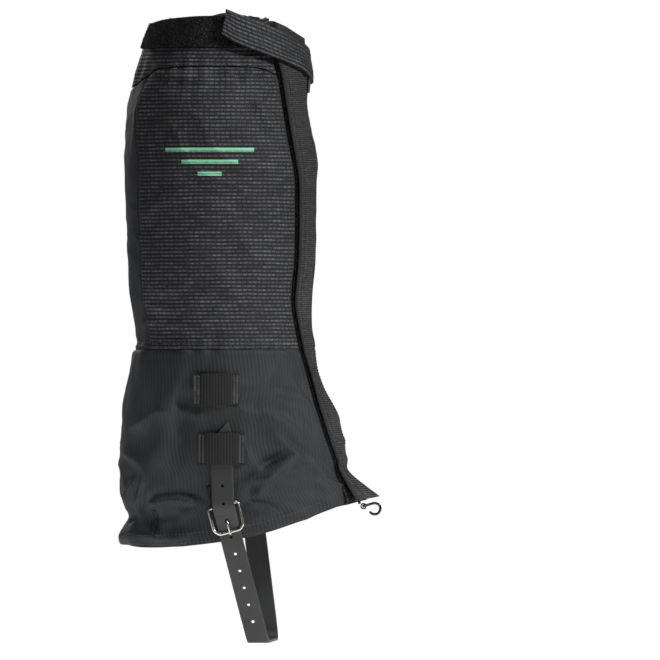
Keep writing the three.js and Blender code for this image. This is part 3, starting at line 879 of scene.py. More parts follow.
@dataclass(frozen=True)
class Webbing:
    """Narrow woven webbing or tape: ribs across its length."""

    name: str
    low: tuple = (8, 8, 9)
    high: tuple = (42, 43, 44)
    pitch: float = 2.1
    depth: float = 0.3

    def build(self) -> bpy.types.Material:
        """Ribs by a sine along the piece, crossed by half a pitch of fine picks.

        Returns:
            The material.
        """
        g = Shader(self.name, 0.72, Specular_IOR_Level=0.35)
        u, v = g.flat()
        ribs = g.wave(u, self.pitch)
        picks = g.wave(v + g.math("FLOOR", u / self.pitch) * 0.45, 0.9)
        dust = g.noise(420, 2)
        tone = ribs * 0.45 + picks * 0.25 + dust * 0.3
        return g.done(g.colour(tone, grey(*self.low), grey(*self.high)), ribs * 0.6 + picks * 0.4, self.depth,
                      0.85 - ribs * 0.2)


@dataclass(frozen=True)
class Pile:
    """Looped pile: fine curls of yarn."""

    name: str
    low: tuple = (14, 14, 15)
    high: tuple = (92, 93, 97)

    def build(self) -> bpy.types.Material:
        """Two scales of noise, the finer one as curls.

        Returns:
            The material.
        """
        g = Shader(self.name, 0.95, Specular_IOR_Level=0.2)
        curls, clumps = g.noise(1100, 4), g.noise(240, 3)
        tone = g.step(curls, 0.42, 0.72) * (clumps * 0.8 + 0.2)
        return g.done(g.colour(tone, grey(*self.low), grey(*self.high)), curls * 0.6 + clumps * 0.4, 0.9)


@dataclass(frozen=True)
class Coated:
    """Smooth coated strap with a fine grain, its colour paler over the last millimetre at both edges."""

    name: str
    low: tuple = (43, 45, 44)
    high: tuple = (66, 68, 66)
    half_width: float = 8.25

    def build(self) -> bpy.types.Material:
        """Grain from fine noise; the paler edge mask rises over the last millimetre of the width.

        Returns:
            The material.
        """
        g = Shader(self.name, 0.5, Specular_IOR_Level=0.45)
        _, v = g.flat()
        grain, patch = g.noise(900, 3), g.noise(45, 3)
        # colour made paler towards both edges of the strap, over the last millimetre of its width
        paler_edge = g.step(g.math("ABSOLUTE", v), self.half_width - 1.1, self.half_width - 0.1)
        tone = patch * 0.6 + grain * 0.2 + paler_edge * 0.35
        return g.done(g.colour(tone, grey(*self.low), grey(*self.high)), grain, 0.06, 0.56 - patch * 0.14)


@dataclass(frozen=True)
class Steel:
    """Nickel-plated wire, a little scratched."""

    name: str
    low: tuple = (176, 172, 165)
    high: tuple = (226, 223, 216)

    def build(self) -> bpy.types.Material:
        """Fine scratches from stretched noise over broad cloudy patches.

        Returns:
            The material.
        """
        g = Shader(self.name, 0.22, 1.0)
        scratch, cloud = g.noise(700, 3, (1, 1, 5)), g.noise(90, 2)
        return g.done(g.colour(cloud, grey(*self.low), grey(*self.high)), scratch, 0.02, cloud * 0.16 + 0.14)


@dataclass(frozen=True)
class Thread:
    """Sewing thread, twisted."""

    name: str
    tone: tuple = (76, 78, 83)

    def build(self) -> bpy.types.Material:
        """A twist by a sine along the stitch, over fine noise.

        Returns:
            The material.
        """
        g = Shader(self.name, 0.5, Specular_IOR_Level=0.5)
        u, _ = g.flat()
        twist, dust = g.wave(u, 0.5), g.noise(300, 2)
        low, high = (grey(*[c * share for c in self.tone]) for share in (0.6, 1.25))
        colour = g.colour(twist * 0.5 + dust * 0.5, low, high)
        return g.done(colour, twist, 0.1)


@dataclass(frozen=True)
class Print:
    """Screen print on the cloth, let through by the weave here and there."""

    name: str
    tone: tuple = (150, 232, 190)

    def build(self) -> bpy.types.Material:
        """The print's colour, worn along the cloth's rows of floats.

        Returns:
            The material.
        """
        g = Shader(self.name, 0.6)
        _, v = g.flat()
        rows, dust = g.wave(v, Ripstop.pitch), g.noise(500, 3)
        worn = g.step(rows * 0.5 + dust * 0.6, 0.2, 0.6)
        colour = g.colour(worn, grey(*[c * 0.62 for c in self.tone]), grey(*self.tone))
        return g.done(colour, rows, 0.08)


class Finishes:
    """All the finishes, each built once, with the slot that it belongs to."""

    table = {
        "ripstop": (Ripstop("ripstop"), Slot.RIPSTOP),
        "flap": (Ripstop("flap_cloth", 1.5, 2.9, (38, 38, 40), (90, 90, 90), 0.22), Slot.PLAIN),
        "plain": (Plain("plain_cloth"), Slot.PLAIN),
        "lining": (Plain("lining_cloth", (18, 19, 20), (34, 35, 37), 2.4, 0.08), Slot.PLAIN),
        "tape": (Webbing("woven_tape", (11, 11, 12), (27, 28, 29), 0.9, 0.18), Slot.TAPE),
        "binding": (Webbing("edge_binding", (20, 21, 22), (48, 49, 51), 0.8, 0.16), Slot.TAPE),
        "elastic": (Webbing("ribbed_elastic", (22, 23, 25), (50, 51, 54), 2.2, 0.5), Slot.ELASTIC),
        "webbing": (Webbing("webbing"), Slot.WEBBING),
        "olive": (Webbing("olive_webbing", (66, 64, 50), (104, 102, 82), 1.3, 0.3), Slot.OLIVE),
        "pile": (Pile("loop_pile"), Slot.PILE),
        "coated": (Coated("coated_strap"), Slot.COATED),
        "steel": (Steel("nickel_steel"), Slot.STEEL),
        "dark_steel": (Steel("blackened_steel", (52, 52, 54), (84, 84, 88)), Slot.STEEL),
        "thread": (Thread("thread"), Slot.PLAIN),
        "dark_thread": (Thread("dark_thread", (26, 28, 40)), Slot.PLAIN),
        "tack_thread": (Thread("tack_thread", (104, 106, 110)), Slot.PLAIN),
        "print": (Print("print"), Slot.RIPSTOP),
    }

    def __init__(self) -> None:
        """Builds every material."""
        self.made = {key: finish.build() for key, (finish, _) in self.table.items()}

    def dress(self, obj: bpy.types.Object, finish: str, body: Body | None, *nodes: str) -> bpy.types.Object:
        """Gives a piece its material and body, and hides the solids that it stands for.

        Args:
            obj: the piece.
            finish: a key of the table.
            body: the body that it rides on, or None if it rides on none.
            nodes: the solids that it replaces.
        Returns:
            The piece.
        """
        obj.data.materials.append(self.made[finish])
        if body is not None:
            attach(obj, body.value)
        if nodes:
            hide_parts(*nodes)
        LOG.info("%s: %d faces, %s", obj.name, len(obj.data.polygons), finish)
        return obj


# ---- cloth layers and stitches


@dataclass(frozen=True)
class Patch:
    """A patch of the skin: where it lies round the leg, and between which levels."""

    angle: Callable[[Array, Array], Array]
    levels: Array
    shares: Array
    lip: float = 0.0

    @classmethod
    def height(cls, angle: Array, level: Array) -> Array:
        """Height of a level at an angle."""
        return SKIN.height(angle, level)

    def grid(self) -> tuple[Array, Array, Array, Array]:
        """Works out the patch's grid.

        Returns:
            Share, level, angle and height at each point.
        """
        u, level = np.meshgrid(self.shares, self.levels, indexing="ij")
        angle = self.angle(u, level)
        return u, level, angle, self.height(angle, level)

    def points(self, depth: Array | float, extra: Array | float = 0.0) -> Array:
        """Points of the patch off the folded skin.

        Args:
            depth: how far off it.
            extra: height in z to add.
        Returns:
            Points on the patch's grid.
        """
        _, _, angle, z = self.grid()
        p = SKIN.draped(angle, z, np.broadcast_to(depth, angle.shape))
        p[..., 0] += self.lip * SKIN.lip(angle, z)
        p[..., 2] += extra
        return p

    def edge_distance(self) -> Array:
        """Measures along both directions of the grid.

        Returns:
            Millimetres from each point to the patch's nearest border.
        """
        p = self.points(0.0)
        across, up = run_length(p), np.swapaxes(run_length(np.swapaxes(p, 0, 1)), 0, 1)
        return np.minimum.reduce([across, across[-1:] - across, up, up[:, -1:] - up])

    def flat(self) -> Array:
        """Lays the patch flat: each row keeps its length and stands about its own middle, at its height.

        Returns:
            Place of each point on the flat cloth.
        """
        p = self.points(0.0)
        across = run_length(p)
        return np.stack([across - across[-1:] * 0.5, p[..., 2]], -1)

    def layer(self, name: str, inner: float, outer: float, ridge: Callable | None = None,
              extra: Array | float = 0.0, lift: Callable | None = None) -> bpy.types.Object:
        """A closed layer between two depths, rounded at its borders.

        Args:
            name: the piece's name.
            inner: depth of the inner face.
            outer: depth of the outer face.
            ridge: gives the height to add to the outer face for grids of share, level, angle and height.
            extra: height in z to add to both faces.
            lift: gives the depth to add to both faces for the same grids.
        Returns:
            The object.
        """
        half = (outer - inner) / 2
        round_off = rounding(self.edge_distance(), half) * 0.86 + 0.14
        swell = ridge(*self.grid()) if ridge else 0.0
        mid = (outer + inner) / 2 + (lift(*self.grid()) if lift else 0.0)
        return closed(name, self.points(mid + half * round_off + swell, extra),
                      self.points(mid - half * round_off, extra), self.flat())


class Band(Patch):
    """A patch whose levels run from a straight lower edge, 0, to the rim, 1."""

    foot = 444.5

    @classmethod
    def height(cls, angle: Array, level: Array) -> Array:
        """Height of a level: from the foot to the rim's height at that angle."""
        return mix(cls.foot, SKIN.rim(np.cos(angle)), level)


def seam_row(angle: Array, z: Array, depth: float, lip: float = 0.0) -> tuple[Array, Array]:
    """A sewn row on the folded skin.

    Args:
        angle: angles along the row.
        z: heights along it.
        depth: how far off the skin it is.
        lip: share of the flap's lip that it follows.
    Returns:
        Points along the row, and the directions outwards there.
    """
    angle, z = np.broadcast_arrays(np.asarray(angle, float), np.asarray(z, float))
    p = SKIN.draped(angle, z, np.full(angle.shape, depth))
    p[..., 0] += lip * SKIN.lip(angle, z)
    return p, SKIN.normal(angle, z)


@dataclass(frozen=True)
class Stitch:
    """One kind of stitch."""

    radius: float = 0.24
    length: float = 2.3
    gap: float = 0.8

    def along(self, path: Array, normals: Array) -> tuple[Array, Array]:
        """Stitches end to end along a path, worked out from the path's own length.

        Args:
            path: points along the row.
            normals: directions outwards there.
        Returns:
            Vertices and faces of all stitches.
        """
        reach = run_length(path)
        starts = np.arange(0, reach[-1] - self.length, self.length + self.gap)
        middle = unit(read_at(starts + self.length / 2, reach, normals))
        return self.between(read_at(starts, reach, path), read_at(starts + self.length, reach, path), middle)

    def between(self, a: Array, b: Array, normals: Array) -> tuple[Array, Array]:
        """A spindle of six sides from each a to each b, which dips into the cloth at its ends.

        Args:
            a: starts.
            b: ends.
            normals: directions outwards.
        Returns:
            Vertices and faces of all stitches.
        """
        t = np.array([0.0, 0.18, 0.5, 0.82, 1.0])
        size = self.radius * np.array([0.35, 0.9, 1.0, 0.9, 0.35])
        sink = self.radius * np.array([-0.9, 0.15, 0.45, 0.15, -0.9])
        turn = np.linspace(0, 2 * np.pi, 6, endpoint=False)
        side = unit(np.cross(b - a, normals))
        up = unit(np.cross(side, b - a))
        centre = a[:, None] + (b - a)[:, None] * t[None, :, None] + normals[:, None] * sink[None, :, None]
        ring = np.cos(turn)[:, None] * side[:, None] + np.sin(turn)[:, None] * up[:, None]
        points = centre[:, :, None] + ring[:, None] * size[None, :, None, None]
        faces = capped(5, 6)[None] + np.arange(len(a))[:, None, None] * 30
        return points.reshape(-1, 3), faces.reshape(-1, 4)


def sewn(name: str, rows: Sequence[tuple[Array, Array]]) -> bpy.types.Object:
    """One object of many stitches."""
    points, quads = together(rows)
    return piece(name, points, quads, np.stack([points[:, 0] + points[:, 2], points[:, 1]], -1))


def wired(name: str, parts: Sequence[tuple[Array, Array]]) -> bpy.types.Object:
    """One object of turned shapes and wires."""
    points, quads = together(parts)
    return piece(name, points, quads, points[:, [0, 2]])


# ---- sub-assemblies


REAR_SEAM = -148 * RAD
HEEL_SEAM = -179 * RAD
TUCK = 0.045
THREAD = Stitch()
FINE_THREAD = Stitch(0.19, 1.9, 0.6)


def upper_outer(u: Array, level: Array) -> Array:
    """Angle across the ripstop panel, from the rear seam to its front edge."""
    return mix(REAR_SEAM + 0.006, SKIN.front_edge(level) - 0.02, u)


def lower_outer(u: Array, level: Array) -> Array:
    """Angle across the lower outer panel, from the heel seam to its front edge."""
    return mix(HEEL_SEAM, SKIN.front_edge(level) - 0.02, u)


def corner_outer(u: Array, level: Array) -> Array:
    """As the lower outer panel, with its front corner swung forward over the tapes by a bell."""
    reach = 0.36 * bell(level - 0.03, 0.085) * ramp(u, 0.76, 1.0)
    return lower_outer(u, level) + reach


def inner_edge(level: Array) -> Array:
    """Angle of the inner panels' front edge, under the flap's root."""
    return SKIN.fold_line(level) - SKIN.fold_cover


def upper_inner(u: Array, level: Array) -> Array:
    """Angle across the upper inner panel, from the flap's root to the rear seam."""
    return mix(inner_edge(level), REAR_SEAM + 2 * np.pi + TUCK, u)


def lower_inner(u: Array, level: Array) -> Array:
    """Angle across the lower inner panel, from the flap's root to the heel seam."""
    return mix(inner_edge(level), HEEL_SEAM + 2 * np.pi + TUCK, u)


def around_collar(u: Array, level: Array) -> Array:
    """Angle round the collar, from the outer front edge backwards to the flap's root."""
    return mix(SKIN.front_edge(level) - 0.02, inner_edge(level) - 2 * np.pi, u)


def around_rim(u: Array, level: Array) -> Array:
    """Angle round the collar at the rim, the same at every level."""
    return around_collar(u, 3.0 + 0 * level)


def around_ankle(u: Array, level: Array) -> Array:
    """Angle along the ankle's elastic, round the rear from the outer side to the inner."""
    return mix(-129 * RAD, -231 * RAD, u)


def across_heel_seam(u: Array, level: Array) -> Array:
    """Angle across the tape on the heel seam."""
    return mix(-174 * RAD, -186 * RAD, u)


def across_rear_seam(u: Array, level: Array) -> Array:
    """Angle across the tape on the rear seam."""
    return REAR_SEAM + mix(-5, 5, u) * RAD


def across_front(u: Array, level: Array) -> Array:
    """Angle across the front opening, from the outer panel's edge to the fold."""
    return mix(SKIN.front_edge(level), SKIN.fold_line(level), u)


def gathers(u: Array, level: Array, angle: Array, z: Array) -> Array:
    """Fine gathers across the ankle's elastic: a sine round the leg."""
    return -0.35 * np.cos(angle * ARC / 0.9) * 0.3


@dataclass
class Panels:
    """The four panels of the leg with their inside tapes, facings and elastic."""

    finishes: Finishes
    step: float = 1.7

    def tuck(self, u: Array, level: Array, angle: Array, z: Array) -> Array:
        """The top border goes 1.5 under the piece above: a step down just past the seam's level."""
        seam = 1.0 if level.max() < 1.5 else 2.0
        return -1.5 * ramp(level, seam - 0.0065, seam + 0.001)

    def tuck_inner(self, u: Array, level: Array, angle: Array, z: Array) -> Array:
        """The tuck, and the rear border, which goes 1.5 under the outer panel's."""
        seam = (HEEL_SEAM if level.max() < 1.5 else REAR_SEAM) + 2 * np.pi
        return np.minimum(self.tuck(u, level, angle, z), -1.5 * ramp(angle - seam, -0.014, 0.008))

    def lift_outer(self, u: Array, level: Array, angle: Array, z: Array) -> Array:
        """The tuck, and the lower front corner, which stands over the tapes below a short dart."""
        x = SKIN.point(angle, z)[..., 0]
        return self.tuck(u, level, angle, z) + 3.0 * ramp(z - 0.42 * (58 - x), 118.5, 115.5) * ramp(x, 40, 55)

    def stitched_edge(self, u: Array, level: Array, angle: Array, z: Array) -> Array:
        """A doubled border along the front edge: 0.5 thicker over 7 mm, with a groove where it is sewn."""
        off = (SKIN.angle_of(SKIN.edge(z), z, Side.OUTER) - angle) * ARC
        return 0.45 * ramp(off, 8.5, 7.0) - 0.4 * bell(off - 3.0, 0.7)

    def hem(self, u: Array, level: Array, angle: Array, z: Array) -> Array:
        """The hem's doubled border, 0.5 thicker, with a groove where it is sewn."""
        return 0.5 * ramp(level, 0.078, 0.066) - 0.35 * bell(level - 0.062, 0.006)

    def edge_and_hem(self, u: Array, level: Array, angle: Array, z: Array) -> Array:
        """Both doubled borders of the lower outer panel."""
        return self.stitched_edge(u, level, angle, z) + self.hem(u, level, angle, z)

    def build(self) -> None:
        """Builds the panels and what is sewn inside them."""
        upper = stops(1.0015, 2.014, int(208 / self.step))
        lower = stops(0, 1.016, int(150 / self.step))
        patches = (
            ("upper_outer", "ripstop", upper_outer, upper, 136, self.stitched_edge, self.tuck,
             (0.140, 0.216), 0.0285),
            ("upper_inner", "plain", upper_inner, upper, 206, None, self.tuck_inner,
             (0.210, 0.215), 0.0425),
            ("lower_outer", "plain", corner_outer, lower, 200, self.edge_and_hem, self.lift_outer,
             (0.203, 0.154), 0.0280),
            ("lower_inner", "plain", lower_inner, lower, 156, self.hem, self.tuck_inner,
             (0.158, 0.154), 0.0232),
        )
        for name, finish, angle, levels, width, ridge, lift, flat, area in patches:
            patch = Patch(angle, levels, stops(0, 1, int(width / self.step)))
            made = patch.layer(name + "_cloth", -CLOTH, 0, ridge, lift=lift)
            self.finishes.dress(made, finish, Body.SHELL, name + "_panel")
        self.inside()
        self.sew()

    def inside(self) -> None:
        """Facings, tapes and elastic inside the panels."""
        strips = (
            ("hem_facing_outer", lower_outer, (0, 0.085), 130, 6, TAPE, None, "lining"),
            ("hem_facing_inner", lower_inner, (0, 0.085), 110, 6, TAPE, None, "lining"),
            ("waist_tape_outer", lower_outer, (0.94, 0.9985), 130, 5, TAPE, None, "tape"),
            ("waist_tape_inner", lower_inner, (0.94, 0.9985), 110, 5, TAPE, None, "tape"),
            ("ankle_elastic", around_ankle, (0.1, 0.185), 160, 8, 1.2, gathers, "elastic"),
            ("heel_seam_tape", across_heel_seam, (0.27, 0.88), 6, 60, TAPE, None, "tape"),
            ("rear_seam_tape", across_rear_seam, (1.06, 1.94), 6, 90, TAPE, None, "tape"),
        )
        for node, angle, (low, high), across, up, thick, ridge, finish in strips:
            patch = Patch(angle, stops(low, high, up), stops(0, 1, across))
            made = patch.layer(node + "_sewn", INSIDE - thick, INSIDE, ridge)
            self.finishes.dress(made, finish, Body.SHELL, node)

    def sew(self) -> None:
        """Rows of stitches on the panels: front edge, waist, hem and rear seam, and the elastic's tacks."""
        level_low, level_high = np.linspace(0.03, 0.99, 220), np.linspace(1.01, 1.99, 260)
        rows = []
        for levels in (level_low, level_high):
            z = SKIN.height(SKIN.front_edge(levels), levels)
            angle = SKIN.front_edge(levels) - 0.02 - 2.4 / ARC
            rows.append(FINE_THREAD.along(*seam_row(angle, z, 0.32)))
        waist, foot = np.array(1.0), np.array(0.06)
        leg = np.linspace(SKIN.front_edge(waist) - 0.06, inner_edge(waist) - 2 * np.pi, 420)
        for lift in (1.8, 5.4):
            rows.append(THREAD.along(*seam_row(leg, np.full_like(leg, WAIST + lift), 0.06)))
        low_leg = np.linspace(SKIN.front_edge(foot) - 0.08, inner_edge(foot) - 2 * np.pi, 420)
        for level, depth in ((0.016, 0.5), (0.062, 0.25)):
            z = SKIN.height(low_leg, np.full_like(low_leg, level))
            rows.append(THREAD.along(*seam_row(low_leg, z, depth)))
        up = np.linspace(1.02, 1.98, 260)
        for off in (-1.6, 1.6):
            angle = np.full_like(up, REAR_SEAM + off / ARC)
            rows.append(THREAD.along(*seam_row(angle, SKIN.height(angle, up), 0.08)))
        made = sewn("panel_stitching", rows)
        self.finishes.dress(made, "thread", Body.SHELL)
        for side, node in ((Side.OUTER, "ankle_tack_outer"), (Side.INNER, "ankle_tack_inner")):
            self.tack(side, node)
        self.piping()

    def piping(self) -> None:
        """A thin rolled edge along the outer panel's front, from the rim's seam down to the dart."""
        level = np.linspace(0.17, 1.985, 420)
        angle = SKIN.front_edge(level) - 0.02
        path, _ = seam_row(angle, SKIN.height(angle, level), -0.15)
        made = wired("front_edge_roll", [tube(path, 0.62, 10)])
        self.finishes.dress(made, "binding", Body.SHELL)

    def tack(self, side: Side, node: str) -> None:
        """A dense zigzag tack that holds one end of the ankle elastic.

        Args:
            side: the side of the leg.
            node: the solid that it stands for.
        """
        count = 46
        z = np.linspace(75.5, 96.5, 2 * count)
        swing = np.where(np.arange(len(z)) % 2, 1.0, -1.0)
        p, n = seam_row(SKIN.angle_of(-81.5 + 2.6 * swing, z, side), z, 0.3)
        made = sewn(node + "_zigzag", [Stitch(0.36).between(p[:-1], p[1:], unit(n[:-1] + n[1:]))])
        self.finishes.dress(made, "dark_thread", Body.SHELL, node)


@dataclass
class Collar:
    """The gathered collar: two casings with elastic between them, and the loop band round it."""

    finishes: Finishes

    def ruffle(self, u: Array, level: Array, angle: Array, z: Array) -> Array:
        """Pleats that grow from the seam to the rim: a sine round the leg whose pitch drifts."""
        s = angle * ARC
        return 0.12 * (np.cos(s / 1.9 + 1.6 * np.sin(s / 8.5)) * ramp(level, 2.1, 2.95))

    def rough(self, u: Array, level: Array, angle: Array, z: Array) -> Array:
        """The pile's uneven face: fine waves whose phases are bent by finer ones."""
        round_leg = np.sin(angle * ARC * 4.1 + 9 * np.sin(z * 1.7))
        return 0.16 * round_leg * np.sin(z * 4.7 + 7 * np.sin(angle * 31))

    def rim_wave(self, patch: Patch, size: float) -> Array:
        """The rim's waviness: two sines round the leg, fading to nothing at the seam.

        Args:
            patch: the casing.
            size: the greatest height of the waves.
        Returns:
            Height in z to add at each point.
        """
        _, level, angle, _ = patch.grid()
        s = angle * ARC
        wave = np.sin(s / 4.3 + 1.2 * np.sin(s / 12)) * 0.6 + np.sin(s / 9.1 + 0.8) * 0.4
        return size * wave * ramp(level, 2.3, 3.0)

    def build(self) -> None:
        """Builds the casings, elastic, loop band and stitching."""
        dress = self.finishes.dress
        casing = Patch(around_collar, stops(2.009, 3, 26), stops(0, 1, 260))
        made = casing.layer("collar_outer_cloth", -0.8, 0, self.ruffle, self.rim_wave(casing, 1.0))
        dress(made, "ripstop", Body.SHELL, "collar_outer_casing")
        band = Patch(around_collar, stops(2.36, 2.9, 12), stops(0.04, 0.96, 240))
        dress(band.layer("collar_elastic_band", -2.4, -1.2, None), "elastic", Body.SHELL, "collar_elastic")
        rise = self.rim_wave(casing, 2.4) + 0.6 * ramp(casing.grid()[1], 2.6, 3.0)
        made = casing.layer("collar_inner_cloth", -3.6, -2.8, None, rise)
        dress(made, "lining", Body.SHELL, "collar_inner_casing")
        self.loop_band()
        leg = np.linspace(0.01, 0.99, 420)
        rows = []
        for level in (2.012, 2.06):
            levels = np.full_like(leg, level)
            angle = around_collar(leg, levels)
            rows.append(THREAD.along(*seam_row(angle, SKIN.height(angle, levels), 0.1)))
        dress(sewn("collar_stitching", rows), "thread", Body.SHELL)

    def loop_band(self) -> None:
        """The pile band: a rough outer face from fine waves, with curls of yarn standing on it."""
        shares, levels = stops(0.036, 0.79, 300), stops(0, 1, 26)
        made = Band(around_rim, levels, shares).layer("collar_loop_pile", GAP, GAP + 1.2, self.rough)
        self.finishes.dress(made, "pile", Body.SHELL, "collar_loop_band")
        random = np.random.default_rng(7)
        count = 5200
        u, level = random.uniform(0.04, 0.785, count), random.uniform(0.03, 0.98, count)
        angle = around_rim(u, level)
        z = Band.height(angle, level)
        turn, reach = random.uniform(0, 2 * np.pi, count), random.uniform(0.5, 1.3, count)
        a = SKIN.draped(angle, z, np.full(count, GAP + 1.15))
        top = random.uniform(1.4, 2.3, count) + GAP * 0.5
        b = SKIN.draped(angle + reach * np.cos(turn) / ARC, z + reach * np.sin(turn), top)
        made = sewn("collar_loop_curls", [Stitch(0.085).between(a, b, SKIN.normal(angle, z))])
        self.finishes.dress(made, "pile", Body.SHELL)


@dataclass
class Front:
    """The front opening: underlap with loop tape, and the flap that closes over it."""

    finishes: Finishes
    underlap_lip: float = 0.6
    inner: float = 3.0
    outer: float = 4.0

    def root(self, u: Array, level: Array, angle: Array, z: Array) -> Array:
        """The flap comes down onto the inner panel over its last 0.15, by the square of the way."""
        return -(self.inner - GAP) * np.clip((u - 0.85) / 0.15, 0, 1) ** 2

    def sink(self, u: Array, level: Array, angle: Array, z: Array) -> Array:
        """The underlap's two upright borders go under the panels beside it."""
        return -1.6 * np.maximum(ramp(u, 0.0, -0.012), ramp(u, 0.915, 0.935))

    def groove(self, u: Array, level: Array, angle: Array, z: Array) -> Array:
        """The flap's seam beside its binding: a groove with a low ridge next to it, as two bells."""
        return -0.3 * bell((u - 0.075) * 45, 0.8) + 0.18 * bell((u - 0.11) * 45, 2.0)

    def levels(self, foot: float) -> Array:
        """Stops up the opening, from a level near the hem to just under the rim."""
        return np.concatenate([stops(foot, 1.0, 90)[:-1], stops(1.0, 2.0, 116)[:-1], stops(2.0, 2.95, 24)])

    def build(self) -> None:
        """Builds both layers of the front, their tapes and stitching."""
        dress = self.finishes.dress
        levels, flap_levels = self.levels(0), self.levels(0.02)
        patch = Patch(across_front, levels, stops(-0.04, 0.985, 46), self.underlap_lip)
        made = patch.layer("front_underlap_cloth", -CLOTH, 0, lift=self.sink)
        dress(made, "lining", Body.SHELL, "front_underlap")
        tape = Patch(across_front, levels[levels < 2.66], stops(0.0, 0.3, 16), self.underlap_lip)
        dress(tape.layer("front_loop_pile", GAP, GAP + 0.9), "pile", Body.SHELL, "front_loop_tape")
        cloth = Patch(across_front, flap_levels, stops(0.024, 1, 52), 1.0).layer(
            "front_flap_cloth", self.inner, self.outer, self.groove, lift=self.root)
        dress(cloth, "flap", None, "front_flap_panel")
        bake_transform(cloth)
        binding = Patch(across_front, flap_levels, stops(0.005, 0.035, 5), 1.0).layer(
            "flap_edge_tape", self.inner - 0.4, self.outer + 0.3, lift=self.root)
        dress(binding, "binding", Body.FLAP, "flap_edge_binding")
        hooks = Patch(across_front, flap_levels[flap_levels < 2.6], stops(0.036, 0.29, 14), 1.0).layer(
            "flap_hook_band", self.inner - GAP - 0.9, self.inner - GAP, lift=self.root)
        dress(hooks, "tape", Body.FLAP, "flap_hook_tape")
        rows = []
        reach = np.linspace(0.05, 2.9, 520)
        for share in (0.075, 0.3):
            angle = across_front(np.full_like(reach, share), reach)
            z = SKIN.height(angle, reach)
            rows.append(FINE_THREAD.along(*seam_row(angle, z, self.outer + 0.02, 1.0)))
        dress(sewn("flap_stitching", rows), "dark_thread", Body.FLAP)


@dataclass
class TopStrap:
    """The strap over the collar: two layers of cloth with hooks under its end, sewn to the flap."""

    finishes: Finishes
    start: float = 10.0
    end: float = -91.0
    width: float = 23.0
    depth: float = 6.3
    middle: float = 0.62

    centre = Curve(((-91, 463), (-80, 457.5), (-55, 448.3), (-37, 441.8), (-20, 436.8), (0, 431.2),
                    (10, 430)))
    taper = Curve(((-91, 0.88), (-80, 0.97), (-70, 1.0), (10, 1.0)))

    def layer(self, name: str, along: Array, across: Array, inner: Any, outer: Any) -> bpy.types.Object:
        """A layer that follows the strap's centre line round the leg.

        Args:
            name: the piece's name.
            along: stops in degrees.
            across: stops across, in millimetres.
            inner: depth of the inner face for grids of degrees and place across.
            outer: depth of the outer face.
        Returns:
            The object.
        """
        d, v = np.meshgrid(along, across, indexing="ij")
        z = self.centre(d) + v * self.taper(d)
        mid = SKIN.at(d * RAD, z, 0.0)
        uv = np.stack([run_length(mid), v], -1)
        return closed(name, SKIN.at(d * RAD, z, outer(d, v)), SKIN.at(d * RAD, z, inner(d, v)), uv)

    def wave(self, d: Array, v: Array) -> Array:
        """The strap's unevenness: sines along it and across it."""
        return 0.25 * np.sin(d / 7.5) + 0.18 * np.sin(v / 3 + d / 4) + 0.1 * np.sin(d / 2.6 + v)

    def border(self, d: Array, v: Array) -> Array:
        """Millimetres to the strap's nearest border, with a degree taken as 1.05."""
        return np.minimum(self.width / 2 - np.abs(v), np.minimum(d - self.end, self.start - d) * 1.05)

    def under(self, d: Array, v: Array) -> Array:
        """Depth of the under face, rounded at its borders."""
        plump = rounding(self.border(d, v), 0.8) * 0.55
        return self.depth + self.middle - 0.06 - plump + self.wave(d, v) * 0.5

    def face(self, d: Array, v: Array) -> Array:
        """Depth of the outer face, rounded at its borders, with a groove where it is sewn."""
        off = self.border(d, v)
        return (self.depth + self.middle + 0.06 + rounding(off, 0.8) * 0.55 * 1.15 + self.wave(d, v) * 0.5
                + (-0.32 * bell(off - 2.1, 0.55) + 0.14 * bell(off - 3.6, 1.0)))

    def build(self) -> None:
        """Builds the strap, its hook patch, the loop at its root and its stitching."""
        dress, half = self.finishes.dress, self.width / 2
        made = self.layer("top_strap_cloth", stops(self.start, self.end, 120), stops(-half, half, 30),
                          self.under, self.face)
        dress(made, "ripstop", None, "top_strap_panel")
        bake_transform(made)
        patch = self.layer("top_strap_hooks", stops(-57, self.end + 2, 34), stops(2 - half, half - 2, 16),
                           lambda d, v: 2.3 + 0 * d, lambda d, v: self.depth - GAP + 0 * d)
        dress(patch, "tape", Body.STRAP, "top_strap_hook_patch")
        dress(self.root_loop(), "olive", Body.FLAP, "strap_root_loop")
        rows = []
        for side in (-1, 1):
            d = np.linspace(self.start - 4, self.end + 2, 200)
            rows.append(self.row(d, np.full_like(d, side * (half - 2.1))))
        v = np.linspace(2.1 - half, half - 2.1, 40)
        rows.append(self.row(np.full_like(v, self.end + 2.0), v))
        dress(sewn("top_strap_stitching", rows), "thread", Body.STRAP)
        root = [self.row(np.full_like(v, self.start - off), v) for off in (1.6, 3.4)]
        dress(sewn("top_strap_root_stitching", root), "thread", Body.FLAP)

    def row(self, d: Array, v: Array) -> tuple[Array, Array]:
        """A sewn row on the strap.

        Args:
            d: degrees along the row.
            v: places across.
        Returns:
            Vertices and faces of its stitches.
        """
        angle, z = d * RAD, self.centre(d) + v * self.taper(d)
        lift = self.depth + 1.02 + 0.125 * np.sin(d / 7.5)
        return FINE_THREAD.along(SKIN.at(angle, z, lift), SKIN.normal(angle, z))

    def root_loop(self) -> bpy.types.Object:
        """The webbing under the strap's root: a level band round the front.

        Returns:
            The object.
        """
        d, z = np.meshgrid(stops(-10, 14, 40), stops(412, 436, 16), indexing="ij")
        mid, outer, inner = (SKIN.at(d * RAD, z, depth) for depth in (0.0, 5.5, 4.8))
        return closed("strap_root_webbing", outer, inner, np.stack([run_length(mid), z], -1))


